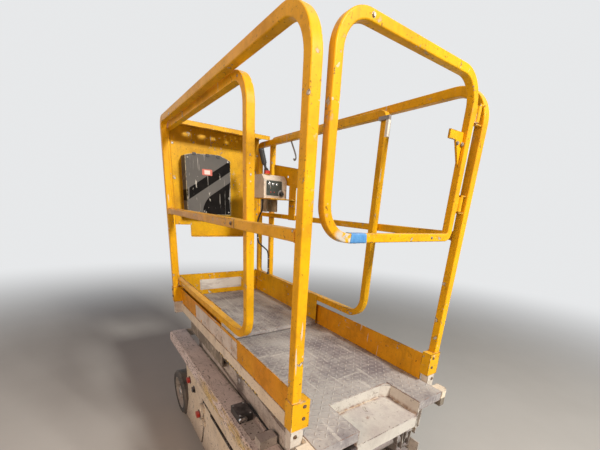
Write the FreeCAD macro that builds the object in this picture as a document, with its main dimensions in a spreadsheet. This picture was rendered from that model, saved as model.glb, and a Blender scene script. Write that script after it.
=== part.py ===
import FreeCAD, Part
import Sketcher
import math
import os
import re

# Compact electric scissor lift, stowed, millimetres.
# +X points to the extension end, +Y to the left, +Z up.
# The origin is on the floor, in the middle of the outer box.

os.makedirs("parts", exist_ok=True)
doc = FreeCAD.newDocument("ScissorLift")
V = FreeCAD.Vector

# Driving dimensions: name, value, meaning
DIMENSIONS = (
    ("halfLength", 887, "half of the overall length"),
    ("halfWidth", 380, "outer face of the wheels"),
    ("plate", 4, "deck and panel sheet"),
    ("sheetThin", 3, "toe boards and covers"),
    ("runFit", 0.05, "radial play of a pin that turns"),
    ("openFit", 0.5, "radial play at an opened pivot"),
    ("padGap", 0.3, "running air at the wear pads"),
    ("rollGap", 0.3, "air under the rollers"),

    ("deckTop", 850, "standing surface of the main deck"),
    ("deckHalf", 322, "outer face of the toe boards"),
    ("deckFront", 695, "front end of the main deck"),
    ("deckEdge", 40, "folded rear edge of the deck"),
    ("beamDeep", 40, "front cross beam along X"),
    ("notchDeep", 165, "entry well, length along X"),
    ("notchLeft", 148, "entry well, left side"),
    ("notchRight", 172, "entry well, right side"),
    ("notchDrop", 60, "entry well below the deck"),
    ("notchCorner", 24, "corner gusset of the entry well, along X"),
    ("apronDrop", 50, "rear apron below the well floor"),
    ("hookTall", 84, "side bracket of the well, height"),
    ("hookWide", 22, "side bracket of the well, across"),
    ("hookDeep", 40, "side bracket of the well, along X"),
    ("skirtDrop", 38, "side channel below the deck"),
    ("skirtRise", 22, "side channel above the deck"),
    ("skirtWide", 34, "side channel across"),
    ("skirtOut", 325, "outer face of the side channel"),
    ("cornerOut", 368, "outer face of the rear corner blocks"),
    ("cornerDeep", 53, "rear corner blocks along X"),
    ("cornerTall", 70, "rear corner blocks, height"),
    ("cornerRound", 14, "chamfer of the rear corner blocks"),
    ("toeTop", 122, "toe board above the deck"),
    ("stripLong", 60, "wear strip along X"),
    ("padLong", 50, "wear pad along X"),
    ("slideReach", 600, "travel of the extension"),
    ("slideStop", 6, "air from the wear pads to the strips at full travel"),
    ("stripWide", 40, "wear strip and wear pad across"),

    ("tube", 32, "rail tube across flats"),
    ("tubeRound", 4, "corner of the rail tube"),
    ("tubeSlim", 28, "inner mid rail across flats"),
    ("sleeveFront", -382, "front end of the mid rail's sleeve"),
    ("railHalf", 370, "outer face of the main rails"),
    ("railHigh", 1120, "top of the rails above the deck"),
    ("midHigh", 632, "top of the mid rails above the deck"),
    ("postBack", -812, "rear face of the rear posts"),
    ("postFront", 680, "front face of the front posts"),
    ("bendBack", 130, "rail bend at the rear, outer radius"),
    ("bendFront", 60, "rail bend at the front, outer radius"),
    ("footLow", 36, "underside of the post sockets above the deck"),
    ("footTall", 100, "post socket height"),
    ("footIn", 308, "inner face of the post sockets"),
    ("footLap", 4, "post socket beyond the post"),
    ("stubDrop", 42, "post stub below the deck"),

    ("extHalf", 333, "outer face of the extension loops"),
    ("extBack", -410, "rear face of the extension loops"),
    ("extFront", 822, "front end of the extension"),
    ("extTop", 1098, "top of the extension loops above the deck"),
    ("extLow", 152, "underside of the loops above the deck"),
    ("extBend", 110, "rear bends of the loops, outer radius"),
    ("extBendRight", 45, "upper rear bend of the right loop, outer radius"),
    ("extNose", 55, "front bends of the loops, outer radius"),
    ("loopFront", 800, "front face of the loops"),
    ("extDeckBack", -30, "rear edge of the extension deck"),
    ("extDeckHalf", 300, "outer face of the extension toe boards"),
    ("extDeckTall", 28, "extension deck above the main deck"),
    ("extToeTop", 185, "extension toe board above the main deck"),
    ("extToeInset", 40, "front toe board behind the extension's front end"),
    ("slideGap", 6, "air under the extension deck"),
    ("ribWide", 40, "ribs of the extension deck"),
    ("footFlat", 60, "feet of the loops along X"),
    ("footFlatTall", 38, "feet of the loops, height"),

    ("wallX", 774, "rear face of the front wall"),
    ("wallLow", 450, "lower edge of the front wall above the deck"),
    ("shelfTop", 1118, "shelf above the deck"),
    ("shelfDeep", 160, "shelf along X"),
    ("shelfLip", 22, "rear lip of the shelf"),
    ("wallFlange", 40, "lower flange of the front wall"),
    ("flangeLeft", 204, "lower flange, left end"),
    ("flangeRight", 190, "lower flange, right end"),
    ("frontBoxDeep", 88, "box on the front wall along X"),
    ("frontBoxLeft", 240, "box on the front wall, left side"),
    ("frontBoxRight", 48, "box on the front wall, right side"),
    ("frontBoxLow", 600, "box on the front wall, underside above the deck"),
    ("frontBoxHigh", 966, "box on the front wall, ridge above the deck"),
    ("ctrlBack", 350, "control box, rear face"),
    ("ctrlDeep", 160, "control box along X"),
    ("ctrlLeft", -125, "control box, left face"),
    ("ctrlRight", -285, "control box, right face"),
    ("ctrlLow", 724, "control box, underside above the deck"),
    ("ctrlTall", 136, "control box, height"),
    ("ctrlSlope", 30, "sloped rear edge of the control box"),
    ("seatThick", 6, "seat under the control box"),
    ("hangerIn", -295, "inner face of the hanger plate"),
    ("hangerThick", 8, "hanger plate and strap"),
    ("hangerBack", 236, "hanger plate, rear edge"),
    ("hangerFront", 531, "hanger plate, front edge"),
    ("hangerLow", 790, "hanger plate, lower rear corner above the deck"),
    ("hangerHigh", 898, "hanger plate, upper rear corner above the deck"),
    ("hangerRise", 42, "rise of the hanger plate to its front edge"),
    ("hangerSlot", 12, "slot of the hanger plate, height"),
    ("strapBack", 262, "hanger strap, rear edge"),
    ("strapWide", 72, "hanger strap along X"),
    ("cupTall", 76, "cup under the seat, height"),
    ("cupLong", 74, "cup under the seat, along X"),
    ("cupInset", 34, "cup behind the left edge of the seat"),
    ("stickInset", 100, "joystick from the box's rear face"),
    ("stickAcross", 73, "joystick from the box's left face"),
    ("stickBase", 22, "joystick base"),
    ("stickThin", 8, "joystick stem"),
    ("stickLong", 156, "joystick length"),
    ("stopInset", 40, "stop button from the box's rear face"),
    ("stopAcross", 42, "stop button from the box's left face"),
    ("stopRadius", 17, "stop button"),
    ("stopTall", 22, "stop button, height"),
    ("lockReach", 26, "lock lever behind the loop"),
    ("lockBar", 14, "lock lever across flats"),
    ("lockLong", 66, "hanging grip of the lock lever"),
    ("cableRadius", 5, "control cable"),
    ("cableBend", 60, "bends of the control cable"),

    ("armSpan", 1330, "pivot to pivot"),
    ("armTall", 90, "scissor tube height"),
    ("armWide", 40, "scissor tube width"),
    ("armWall", 5, "scissor tube wall"),
    ("armOver", 30, "tube past the pivot"),
    ("armOpen", 60, "open end of the scissor tube"),
    ("armPitch", 110, "height of one level when stowed"),
    ("innerFace", 160, "inner face of the inner arms"),
    ("outerFace", 210, "inner face of the outer arms"),
    ("pivotBack", -800, "fixed pivots"),
    ("pivotLow", 282, "lowest pivots above the floor"),
    ("pinRadius", 15, "scissor pins"),
    ("pinLap", 6, "pin beyond the inner arm"),
    ("bossWall", 9, "wall of the pivot bosses"),
    ("rollerRadius", 25, "end rollers"),
    ("rollerWide", 24, "end rollers across"),
    ("rollerPin", 12, "roller pins"),
    ("tieRadius", 22, "cross tubes of the inner arms"),
    ("tieInset", 44, "cross tube from its pivot"),
    ("ramInset", 130, "ram eye from the pivot"),
    ("ramRadius", 35, "ram barrel"),
    ("ramFoot", 22, "neck of the ram barrel"),
    ("ramPin", 12, "ram pins"),
    ("rodRadius", 20, "ram rod"),
    ("eyeRadius", 30, "ram eyes"),
    ("eyeHalf", 28, "half width of the ram eyes"),
    ("lugIn", 34, "inner face of the ram lugs"),
    ("lugThick", 10, "ram lugs"),
    ("lugHalf", 22, "half height of the ram lugs"),

    ("wheelRadius", 165, "tyre"),
    ("wheelWide", 105, "tyre and hub"),
    ("tyreRound", 14, "shoulder of the tyre"),
    ("rimRadius", 118, "tyre on its rim"),
    ("rimWall", 10, "outer rim of the hub"),
    ("hubDish", 40, "dish of the hub below the tyre's face"),
    ("hubMiddle", 52, "inner face of the hub below the tyre's face"),
    ("wheelFront", 690, "front axle"),
    ("wheelBack", -690, "rear axle"),
    ("spindleRadius", 18, "wheel spindles"),
    ("spindleInset", 20, "end of the spindles below the tyre's face"),
    ("beamHalf", 35, "half of the axle beams"),
    ("kingY", 292, "king pin axis"),
    ("kingPin", 8, "king pin"),
    ("kingArm", 12, "king pin arms, thickness"),
    ("kingHalf", 50, "king pin arms from the axle's height"),
    ("knucklePost", 17, "knuckle post"),
    ("knuckleHalf", 37, "half height of the knuckle post"),

    ("floorLow", 200, "underside of the chassis tray"),
    ("trayBack", -867, "rear end of the tray"),
    ("trayHalf", 266, "outer face of the tray walls"),
    ("trayFront", 492, "front end of the side bays"),
    ("traySheet", 6, "tray floor and walls"),
    ("rearPlate", 8, "rear plate of the tray"),
    ("rearTall", 84, "rear plate above the tray floor"),
    ("noseHalf", 150, "half width of the nose"),
    ("noseBack", 545, "rear end of the nose walls"),
    ("noseTall", 104, "nose walls above the floor"),
    ("nosePlate", 10, "front plate of the nose"),
    ("noseRoof", 600, "rear end of the nose top, along X"),
    ("tieDeep", 10, "fender ties along X"),
    ("tieTall", 56, "fender ties, height"),
    ("tieOut", 360, "outer end of the fender ties"),
    ("trackBack", -20, "rear end of the roller tracks"),
    ("trackLong", 560, "roller tracks along X"),
    ("trackWide", 40, "roller tracks across"),
    ("trackThick", 12, "roller tracks"),
    ("lugReach", 45, "pivot lugs each side of their pin"),
    ("lugDeep", 6, "pivot lugs across"),
    ("coverTop", 600, "top of the side covers"),
    ("coverLip", 532, "lower edge of the cover lip"),
    ("coverBack", -775, "rear end of the covers"),
    ("coverFront", 855, "front end of the covers"),
    ("coverOut", 378, "outer face of the covers"),
    ("coverRound", 12, "fold of the covers"),
    ("panelOut", 360, "recessed side panels"),
    ("panelLap", 12, "side panels beyond the doors"),
    ("sillLow", 106, "lower edge of the side panels"),
    ("sillBend", 226, "fold line of the side panels"),
    ("doorTop", 402, "upper edge of the doors"),
    ("doorReturn", 34, "folded lower edge of the doors"),
    ("doorAir", 11, "doors to their hinge axis"),
    ("slotTall", 18, "finger gap above the doors"),
    ("doorHingeLeft", 153, "hinge axis of the left door, along X"),
    ("doorHingeRight", 460, "hinge axis of the right door, along X"),
    ("doorHingeOut", 372, "hinge axis of the doors, across"),
    ("doorPin", 3.5, "door hinge pins"),
    ("doorBarrel", 7, "door hinge barrels"),
    ("barrelTall", 40, "door hinge barrels, height"),
    ("leafLong", 34, "door hinge leaves"),
    ("lugLeaf", 5, "door hinge lugs"),
    ("doorBack", -458, "rear edge of the doors"),
    ("blockBack", -430, "heavy blocks, rear end"),
    ("blockDeep", 70, "heavy blocks across"),
    ("blockLow", 140, "heavy blocks, underside"),
    ("blockTall", 235, "heavy blocks, height"),
    ("batteryLong", 500, "battery block along X"),
    ("pumpLong", 420, "pump block along X"),
    ("stepHalf", 156, "rear steps, half width"),
    ("stepDeep", 20, "rear steps along X"),
    ("stepSheet", 6, "rear steps, sheet"),
    ("stepTall", 330, "sides of the rear steps"),
    ("stepFirst", 60, "first step above the tray"),
    ("stepSecond", 310, "second step above the tray"),

    ("gateTube", 26, "gate tube across flats"),
    ("gateLeft", 309, "left outer face of the gate"),
    ("gateRight", 283, "right outer face of the gate"),
    ("gateHigh", 1116, "top of the gate above the deck"),
    ("gateLow", 600, "underside of the gate above the deck"),
    ("latchHigh", 947, "latch plate of the gate, upper edge above the deck"),
    ("latchReach", 90, "latch plate of the gate across"),
    ("hingePin", 5, "gate hinge pins"),
    ("hingeBarrel", 10, "gate hinge barrels"),
    ("hingeTall", 50, "gate hinge barrels, height"),
    ("hingeOut", 312, "gate hinge axis, across"),
    ("hingeFirst", 90, "lower gate hinge above the gate's lower bar"),
    ("hingeSecond", 120, "upper gate hinge below the gate's upper bar"),
    ("gateBend", 85, "bends of the gate, to the tube's middle"),
    ("gateBendLow", 20, "lower bend at the hinge side, to the tube's middle"),
)

sheet = doc.addObject("Spreadsheet::Sheet", "Dims")
VALUE = {}
for row, (alias, value, meaning) in enumerate(DIMENSIONS, start=1):
    sheet.set("A%d" % row, meaning)
    sheet.set("B%d" % row, str(value))
    sheet.setAlias("B%d" % row, alias)
doc.recompute()
for alias, value, meaning in DIMENSIONS:
    VALUE[alias] = float(getattr(sheet, alias))

WORD = re.compile(r"[A-Za-z]\w*")


def bound(text):
    """Puts the sheet's name before each alias of an expression."""
    return WORD.sub(lambda m: "Dims." + m.group(0) if m.group(0) in VALUE else m.group(0), str(text))


def number(text):
    """The present value of an expression of aliases."""
    return float(sheet.evalExpression(str(text)))


def place(item, x, y, z):
    for axis, text in (("x", x), ("y", y), ("z", z)):
        item.setExpression("Placement.Base." + axis, bound(text))


def block(name, x, y, z, dx, dy, dz):
    """A box from its low corner and its three lengths."""
    item = doc.addObject("Part::Box", name)
    for prop, text in (("Length", dx), ("Width", dy), ("Height", dz)):
        item.setExpression(prop, bound(text))
    place(item, x, y, z)
    return item


def side_block(name, side, x, inner, outer, z, dx, dz):
    """A box between two distances from the middle plane, on the named side."""
    low = inner if side == "left" else "-(" + outer + ")"
    return block(name + "_" + side, x, low, z, dx, "(" + outer + ") - (" + inner + ")", dz)


def rod(name, axis, x, y, z, radius, length):
    """A cylinder from the centre of its low end, along X, Y or Z."""
    item = doc.addObject("Part::Cylinder", name)
    turns = {"X": (V(0, 1, 0), 90), "Y": (V(1, 0, 0), -90), "Z": (V(0, 0, 1), 0)}
    item.Placement.Rotation = FreeCAD.Rotation(*turns[axis])
    item.setExpression("Radius", bound(radius))
    item.setExpression("Height", bound(length))
    place(item, x, y, z)
    return item


def side_rod(name, side, x, inner, outer, z, radius):
    """A cylinder across, between two distances from the middle plane."""
    low = inner if side == "left" else "-(" + outer + ")"
    return rod(name + "_" + side, "Y", x, low, z, radius, "(" + outer + ") - (" + inner + ")")


def fuse(name, items):
    joined = doc.addObject("Part::MultiFuse", name)
    joined.Shapes = items
    joined.Refine = True
    joined.Label = name
    return joined


def cut(name, base, tools):
    tool = tools[0] if len(tools) == 1 else fuse(name + "_tools", tools)
    result = doc.addObject("Part::Cut", name)
    result.Base = base
    result.Tool = tool
    result.Refine = True
    result.Label = name
    return result


def origin_plane(body, role):
    return next(f for f in body.Origin.OriginFeatures if f.Role == role)


def outline(body, name, role, points, offset="0"):
    """A closed sketch whose corners are bound to expressions."""
    sketch = body.newObject("Sketcher::SketchObject", name)
    sketch.AttachmentSupport = [(origin_plane(body, role), "")]
    sketch.MapMode = "FlatFace"
    sketch.setExpression("AttachmentOffset.Base.z", bound(offset))
    corners = [(number(u), number(v)) for u, v in points]
    for i, (u, v) in enumerate(corners):
        nu, nv = corners[(i + 1) % len(corners)]
        sketch.addGeometry(Part.LineSegment(V(u, v, 0), V(nu, nv, 0)), False)
    for i in range(len(corners)):
        sketch.addConstraint(Sketcher.Constraint("Coincident", i, 2, (i + 1) % len(corners), 1))
    for i, ((u, v), (eu, ev)) in enumerate(zip(corners, points)):
        for kind, value, text in (("DistanceX", u, eu), ("DistanceY", v, ev)):
            index = sketch.addConstraint(Sketcher.Constraint(kind, -1, 1, i, 1, value))
            sketch.setExpression("Constraints[%d]" % index, bound(text))
    return sketch


def prism(name, role, points, depth, offset="0"):
    """A PartDesign body padded from one outline."""
    body = doc.addObject("PartDesign::Body", name)
    body.Label = name
    sketch = outline(body, name + "_outline", role, points, offset)
    pad = body.newObject("PartDesign::Pad", name + "_pad")
    pad.Profile = sketch
    pad.setExpression("Length", bound(depth))
    body.Tip = pad
    return body


def mirrored(points, side):
    """Outline points in a plane across the machine, on the named side."""
    sign = "" if side == "left" else "-1 * "
    return [(sign + "(" + u + ")", v) for u, v in points]


def revolved(name, points, placement):
    """A PartDesign body turned about its own Y axis from an outline in the XY plane."""
    body = doc.addObject("PartDesign::Body", name)
    body.Label = name
    sketch = outline(body, name + "_outline", "XY_Plane", points)
    turn = body.newObject("PartDesign::Revolution", name + "_turn")
    turn.Profile = sketch
    turn.ReferenceAxis = (sketch, ["V_Axis"])
    turn.Angle = 360
    body.Tip = turn
    body.Placement = placement
    return body


def path_wire(points, radii):
    """Straight runs joined by tangent arcs."""
    edges = []
    start = points[0]
    for i in range(1, len(points) - 1):
        before = (points[i - 1] - points[i]).normalize()
        after = (points[i + 1] - points[i]).normalize()
        half = before.getAngle(after) / 2
        run = radii[i - 1] / math.tan(half)
        first, last = points[i] + before * run, points[i] + after * run
        middle = (before + after).normalize()
        centre = points[i] + middle * (radii[i - 1] / math.sin(half))
        if (first - start).Length > 1e-6:
            edges.append(Part.LineSegment(start, first).toShape())
        edges.append(Part.Arc(first, centre - middle * radii[i - 1], last).toShape())
        start = last
    if (points[-1] - start).Length > 1e-6:
        edges.append(Part.LineSegment(start, points[-1]).toShape())
    return Part.Wire(edges)


def square_section(centre, along, side, half, corner):
    """A rounded square wire across a path: side is one of its two axes."""
    other = along.cross(side).normalize()
    edges = []
    for k in range(4):
        u, v = ((side, other), (other, -side), (-side, -other), (-other, side))[k]
        a = centre + u * half - v * (half - corner)
        b = centre + u * half + v * (half - corner)
        c = centre + v * half + u * (half - corner)
        bulge = centre + (u + v) * (half - corner) + (u + v).normalize() * corner
        edges += [Part.LineSegment(a, b).toShape(), Part.Arc(b, bulge, c).toShape()]
    return Part.Wire(edges)


def bent_tube(points, radii, side, width, corner):
    """A square tube swept along runs and arcs that lie in one plane."""
    path = path_wire(points, radii)
    along = (points[1] - points[0]).normalize()
    section = square_section(points[0], along, side, width / 2, corner)
    return path.makePipeShell([section], True, False)


def ring_tube(points, radii, side, width, corner):
    """A closed loop of the same tube: the path starts in the middle of a straight run."""
    return bent_tube(points + [points[0]], radii, side, width, corner)


def feature(name, shape):
    """A sub-part whose shape comes from the sheet's values through Part's functions."""
    item = doc.addObject("Part::Feature", name)
    item.Label = name
    item.Shape = shape.removeSplitter()
    return item


def side_box(side, x, inner, outer, z, dx, dz):
    """The same as side_block, as a plain shape for a feature."""
    return Part.makeBox(dx, outer - inner, dz, V(x, inner if side > 0 else -outer, z))


def cross_rod(x, y, z, radius, length):
    """A cylinder along Y from its low end."""
    return Part.makeCylinder(radius, length, V(x, y, z), V(0, 1, 0))


NODES = []


def node(item):
    NODES.append(item)
    return item


SIDES = ("left", "right")


# Chassis: a tray between the wheels, a narrow nose between the steered wheels

def chassis_floor():
    pieces = [
        block("tray_floor", "trayBack", "-trayHalf", "floorLow", "trayFront - trayBack", "2 * trayHalf",
              "traySheet"),
        block("nose_floor", "trayFront", "-noseHalf", "floorLow", "halfLength - trayFront", "2 * noseHalf",
              "traySheet"),
        block("rear_plate", "trayBack", "-trayHalf + traySheet", "floorLow + traySheet", "rearPlate",
              "2 * (trayHalf - traySheet)", "rearTall"),
    ]
    return node(fuse("chassis_floor", pieces))


def tray_walls():
    pieces = [side_block("tray_wall", side, "trayBack", "trayHalf - traySheet", "trayHalf",
                         "floorLow + traySheet", "trayFront - trayBack", "coverTop - floorLow - traySheet")
              for side in SIDES]
    return node(fuse("tray_walls", pieces))


def nose_frame():
    """Nose walls, front plate, top and the ties that carry the covers' front ends."""
    low = "floorLow + traySheet"
    roof = "coverTop - nosePlate"
    pieces = [
        block("nose_plate", "halfLength - nosePlate", "-noseHalf", low, "nosePlate", "2 * noseHalf",
              roof + " - (" + low + ")"),
        block("nose_top", "noseRoof", "-noseHalf", roof, "halfLength - noseRoof", "2 * noseHalf", "traySheet"),
    ]
    for side in SIDES:
        pieces.append(side_block("nose_wall", side, "noseBack", "noseHalf - traySheet", "noseHalf", low,
                                 "halfLength - nosePlate - noseBack", "noseTall"))
        pieces.append(side_block("fender_tie", side, "coverFront - tieDeep", "noseHalf", "tieOut",
                                 "coverTop - sheetThin - tieTall", "tieDeep", "tieTall"))
    return node(fuse("nose_frame", pieces))


def roller_tracks():
    """Angles on the tray floor that the lowest rollers run on."""
    top = "pivotLow - rollerRadius - rollGap"
    pieces = []
    for side in SIDES:
        pieces.append(side_block("track", side, "trackBack", "outerFace - traySheet",
                                 "outerFace - traySheet + trackWide", top + " - trackThick", "trackLong",
                                 "trackThick"))
        pieces.append(side_block("track_web", side, "trackBack", "outerFace - traySheet", "outerFace",
                                 "floorLow + traySheet", "trayFront - trackBack",
                                 top + " - trackThick - floorLow - traySheet"))
    return node(fuse("roller_tracks", pieces))


def pivot_lugs():
    """Lugs on the tray floor with the pins of the lowest outer arms."""
    pieces = []
    for side in SIDES:
        pieces.append(side_block("pivot_lug", side, "pivotBack - lugReach", "trayHalf - traySheet - lugDeep",
                                 "trayHalf - traySheet", "floorLow + traySheet", "2 * lugReach",
                                 "pivotLow + lugReach - floorLow - traySheet"))
        pieces.append(side_rod("pivot_pin", side, "pivotBack", "outerFace - 4", "trayHalf - traySheet",
                               "pivotLow", "pinRadius"))
    return node(fuse("pivot_lugs", pieces))


def covers():
    """Top covers with their outer lips, one long fold each."""
    points = [("trayHalf", "coverTop - sheetThin"), ("trayHalf", "coverTop"),
              ("coverOut - coverRound", "coverTop"), ("coverOut", "coverTop - coverRound"),
              ("coverOut", "coverLip"), ("coverOut - sheetThin", "coverLip"),
              ("coverOut - sheetThin", "coverTop - coverRound - 2"),
              ("coverOut - coverRound - 1", "coverTop - sheetThin")]
    folds = [prism("cover_" + side, "YZ_Plane", mirrored(points, side), "coverFront - coverBack", "coverBack")
             for side in SIDES]
    return node(fuse("covers", folds))


# Lower ends of the door barrels
HINGE_HEIGHTS = ("sillBend + 20", "doorTop - 60")


def door_hinge(side):
    """Hinge axis of a door along X, and its signed distance across."""
    if side == "left":
        return "doorHingeLeft", "doorHingeOut"
    return "doorHingeRight", "-doorHingeOut"


def sill_fold(top):
    """Outline of a side sheet that flares out along the sill and folds in at its lower edge."""
    return [("panelOut - plate", top), ("panelOut", top), ("panelOut", "sillBend"), ("halfWidth", "sillLow"),
            ("halfWidth - doorReturn", "sillLow"), ("halfWidth - doorReturn", "sillLow + plate"),
            ("halfWidth - plate - 1", "sillLow + plate"), ("panelOut - plate", "sillBend - 1")]


def side_panel(side):
    """Fixed fascia above the door and round it, with the folded sill at both ends and the door's pins."""
    hinge, centre = door_hinge(side)
    slot = "doorTop + slotTall"
    lip = [("trayHalf", slot), ("panelOut", slot), ("panelOut", "coverLip + plate"),
           ("coverOut - sheetThin", "coverLip + plate"), ("coverOut - sheetThin", "coverLip + 2 * plate"),
           ("panelOut - sheetThin", "coverLip + 2 * plate"), ("panelOut - sheetThin", slot + " + plate"),
           ("trayHalf", slot + " + plate")]
    fascia = prism("fascia_" + side, "YZ_Plane", mirrored(lip, side), "trayFront - doorBack + panelLap",
                   "doorBack - panelLap")
    end = [("trayHalf", "sillLow"), ("halfWidth", "sillLow"), ("panelOut", "sillBend"),
           ("panelOut", slot + " + 2"), ("trayHalf", slot + " + 2")]
    rear = prism("rear_end_" + side, "YZ_Plane", mirrored(end, side), "panelLap / 2", "doorBack - panelLap")
    front = prism("front_end_" + side, "YZ_Plane", mirrored(end, side), "panelLap / 2",
                  "trayFront - panelLap / 2")
    skin = prism("front_skin_" + side, "YZ_Plane", mirrored(sill_fold(slot + " + 2"), side),
                 "trayFront - " + hinge + " - 10", hinge + " + 10")
    pieces = [fascia, rear, front, skin]
    for count, low in enumerate(HINGE_HEIGHTS):
        tag = "_%d" % count
        pieces.append(rod("door_pin" + tag, "Z", hinge, centre, low + " - 4", "doorPin", "barrelTall + 8"))
        for end_name, level in (("low", low + " - lugLeaf - 1"), ("high", low + " + barrelTall + 1")):
            pieces.append(side_block("door_lug_" + end_name + tag, side, hinge + " - 4", "panelOut - 2",
                                     "doorHingeOut + 4", level, "18", "lugLeaf"))
    return fuse("side_panel_" + side, pieces)


def side_panels():
    return node(fuse("side_panels", [side_panel(side) for side in SIDES]))


def door(side):
    """Swinging bay door, folded along the sill."""
    hinge, centre = door_hinge(side)
    pieces = [prism("door_sheet_" + side, "YZ_Plane", mirrored(sill_fold("doorTop"), side),
                    hinge + " - doorAir - doorBack", "doorBack")]
    for count, low in enumerate(HINGE_HEIGHTS):
        tag = "_%d" % count
        pieces.append(rod("door_barrel" + tag, "Z", hinge, centre, low, "doorBarrel", "barrelTall"))
        pieces.append(side_block("door_leaf" + tag, side, hinge + " - leafLong", "panelOut - 2",
                                 "doorHingeOut", low, "leafLong", "barrelTall"))
    bore = rod("door_bore_" + side, "Z", hinge, centre, "sillLow", "doorPin + runFit", "doorTop - sillLow")
    return node(cut("door_" + side, fuse("door_solid_" + side, pieces), [bore]))


def battery_pack():
    return node(block("battery_pack", "blockBack", "trayHalf", "blockLow", "batteryLong", "blockDeep",
                      "blockTall"))


def pump_unit():
    return node(block("pump_unit", "blockBack", "-trayHalf - blockDeep", "blockLow", "pumpLong", "blockDeep",
                      "blockTall"))


def axle_beam(name, x, reach):
    return block(name + "_beam", x + " - beamHalf", "-(" + reach + ")", "wheelRadius - beamHalf",
                 "2 * beamHalf", "2 * (" + reach + ")", "2 * beamHalf")


def rear_axle():
    pieces = [axle_beam("axle_rear", "wheelBack", "trayHalf")]
    for side in SIDES:
        pieces.append(side_rod("stub", side, "wheelBack", "trayHalf", "halfWidth - spindleInset",
                               "wheelRadius", "spindleRadius"))
    return node(fuse("axle_rear", pieces))


def front_axle():
    """Beam with a fork at each end that holds a king pin."""
    pieces = [axle_beam("axle_front", "wheelFront", "kingY - 32")]
    arms = (("high", "wheelRadius + kingHalf - kingArm"), ("low", "wheelRadius - kingHalf"))
    for side in SIDES:
        for level_name, level in arms:
            pieces.append(side_block("king_arm_" + level_name, side, "wheelFront - 20", "kingY - 40",
                                     "kingY + 20", level, "40", "kingArm"))
        pieces.append(side_block("king_back", side, "wheelFront - 20", "kingY - 40", "kingY - 32",
                                 "wheelRadius - kingHalf", "40", "2 * kingHalf"))
    holes = [rod("king_hole_" + side, "Z", "wheelFront", y, "0", "kingPin + runFit", "coverTop")
             for side, y in (("left", "kingY"), ("right", "-kingY"))]
    return node(cut("axle_front", fuse("axle_front_solid", pieces), holes))


def knuckle(side):
    centre = "kingY" if side == "left" else "-kingY"
    post = rod("post_" + side, "Z", "wheelFront", centre, "wheelRadius - knuckleHalf", "knucklePost",
               "2 * knuckleHalf")
    pin = rod("king_pin_" + side, "Z", "wheelFront", centre, "wheelRadius - kingHalf", "kingPin", "2 * kingHalf")
    stub = side_rod("spindle", side, "wheelFront", "kingY", "halfWidth - spindleInset", "wheelRadius",
                    "spindleRadius")
    return node(fuse("knuckle_" + side, [post, pin, stub]))


# Wheels: name, axle, side of the outer face
WHEELS = (
    ("front_left", "wheelFront", 1),
    ("front_right", "wheelFront", -1),
    ("rear_left", "wheelBack", 1),
    ("rear_right", "wheelBack", -1),
)


def wheel(name, x, sign):
    inner = "halfWidth - wheelWide"
    turn = FreeCAD.Rotation(V(0, 0, 1), 0 if sign > 0 else 180)
    spot = FreeCAD.Placement(V(number(x), 0, number("wheelRadius")), turn)
    tyre = [("rimRadius", inner), ("wheelRadius - tyreRound", inner), ("wheelRadius", inner + " + tyreRound"),
            ("wheelRadius", "halfWidth - tyreRound"), ("wheelRadius - tyreRound", "halfWidth"),
            ("rimRadius", "halfWidth")]
    node(revolved("tyre_" + name, tyre, spot))
    bore = "spindleRadius + runFit"
    cap = "halfWidth - spindleInset + 1"
    hub = [(bore, "halfWidth - hubMiddle"), ("rimRadius - 8", "halfWidth - hubMiddle"),
           ("rimRadius - 8", inner), ("rimRadius", inner), ("rimRadius", "halfWidth - 4"),
           ("rimRadius - rimWall", "halfWidth - 4"), ("rimRadius - rimWall - 4", "halfWidth - hubDish"),
           ("hubDish + 12", "halfWidth - hubDish"), ("hubDish", "halfWidth - 8"), ("0", "halfWidth - 8"),
           ("0", cap), (bore, cap)]
    node(revolved("hub_" + name, hub, spot))


def ladder():
    """Two fixed steps on the rear of the chassis."""
    pieces = [side_block("ladder_side", side, "-halfLength", "stepHalf - stepSheet", "stepHalf", "floorLow",
                         "stepDeep", "stepTall") for side in SIDES]
    for count, level in enumerate(("stepFirst", "stepSecond")):
        pieces.append(block("ladder_step_%d" % count, "-halfLength", "-stepHalf", "floorLow + " + level,
                            "stepDeep", "2 * stepHalf", "stepSheet"))
    return node(fuse("ladder", pieces))


def limit_switch():
    return node(block("limit_switch", "-372", "284", "coverTop", "102", "66", "38"))


def switch_bracket():
    """Plate and tube behind the limit switch."""
    plate_low = block("switch_plate", "-489", "286", "coverTop", "116", "60", "plate")
    tube_low = block("switch_tube", "-560", "trayHalf", "coverTop", "50", "76", "42")
    return node(fuse("switch_bracket", [plate_low, tube_low]))


def ground_controls():
    knobs = [rod("stop_knob", "Y", "424", "panelOut", "408", "20", "18"),
             rod("key_switch", "Y", "326", "panelOut", "391", "18", "14"),
             rod("second_knob", "Y", "241", "panelOut", "260", "22", "19")]
    return node(fuse("ground_controls", knobs))


# Scissor stack: each level has an outer frame that rises forward and an inner one that rises back

def arm_tubes(face):
    """Two hollow-ended tubes with their pivot bosses, along X from the pivot at the origin."""
    span, tall, wide = number("armSpan"), number("armTall"), number("armWide")
    over, wall, mouth = number("armOver"), number("armWall"), number("armOpen")
    boss = number("pinRadius + bossWall")
    tubes, mouths, bosses = [], [], []
    for side in (1, -1):
        tubes.append(side_box(side, -over, face, face + wide, -tall / 2, span + 2 * over, tall))
        for end in (-over, span + over - mouth):
            mouths.append(side_box(side, end, face + wall, face + wide - wall, wall - tall / 2, mouth,
                                   tall - 2 * wall))
        low = face if side > 0 else -face - wide
        bosses += [cross_rod(x, low, 0, boss, wide) for x in (0, span)]
    return tubes[0].multiFuse(tubes[1:]).cut(Part.makeCompound(mouths)).multiFuse(bosses)


def arm_reach():
    """Outer face of the outer arms."""
    return number("outerFace + armWide")


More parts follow.
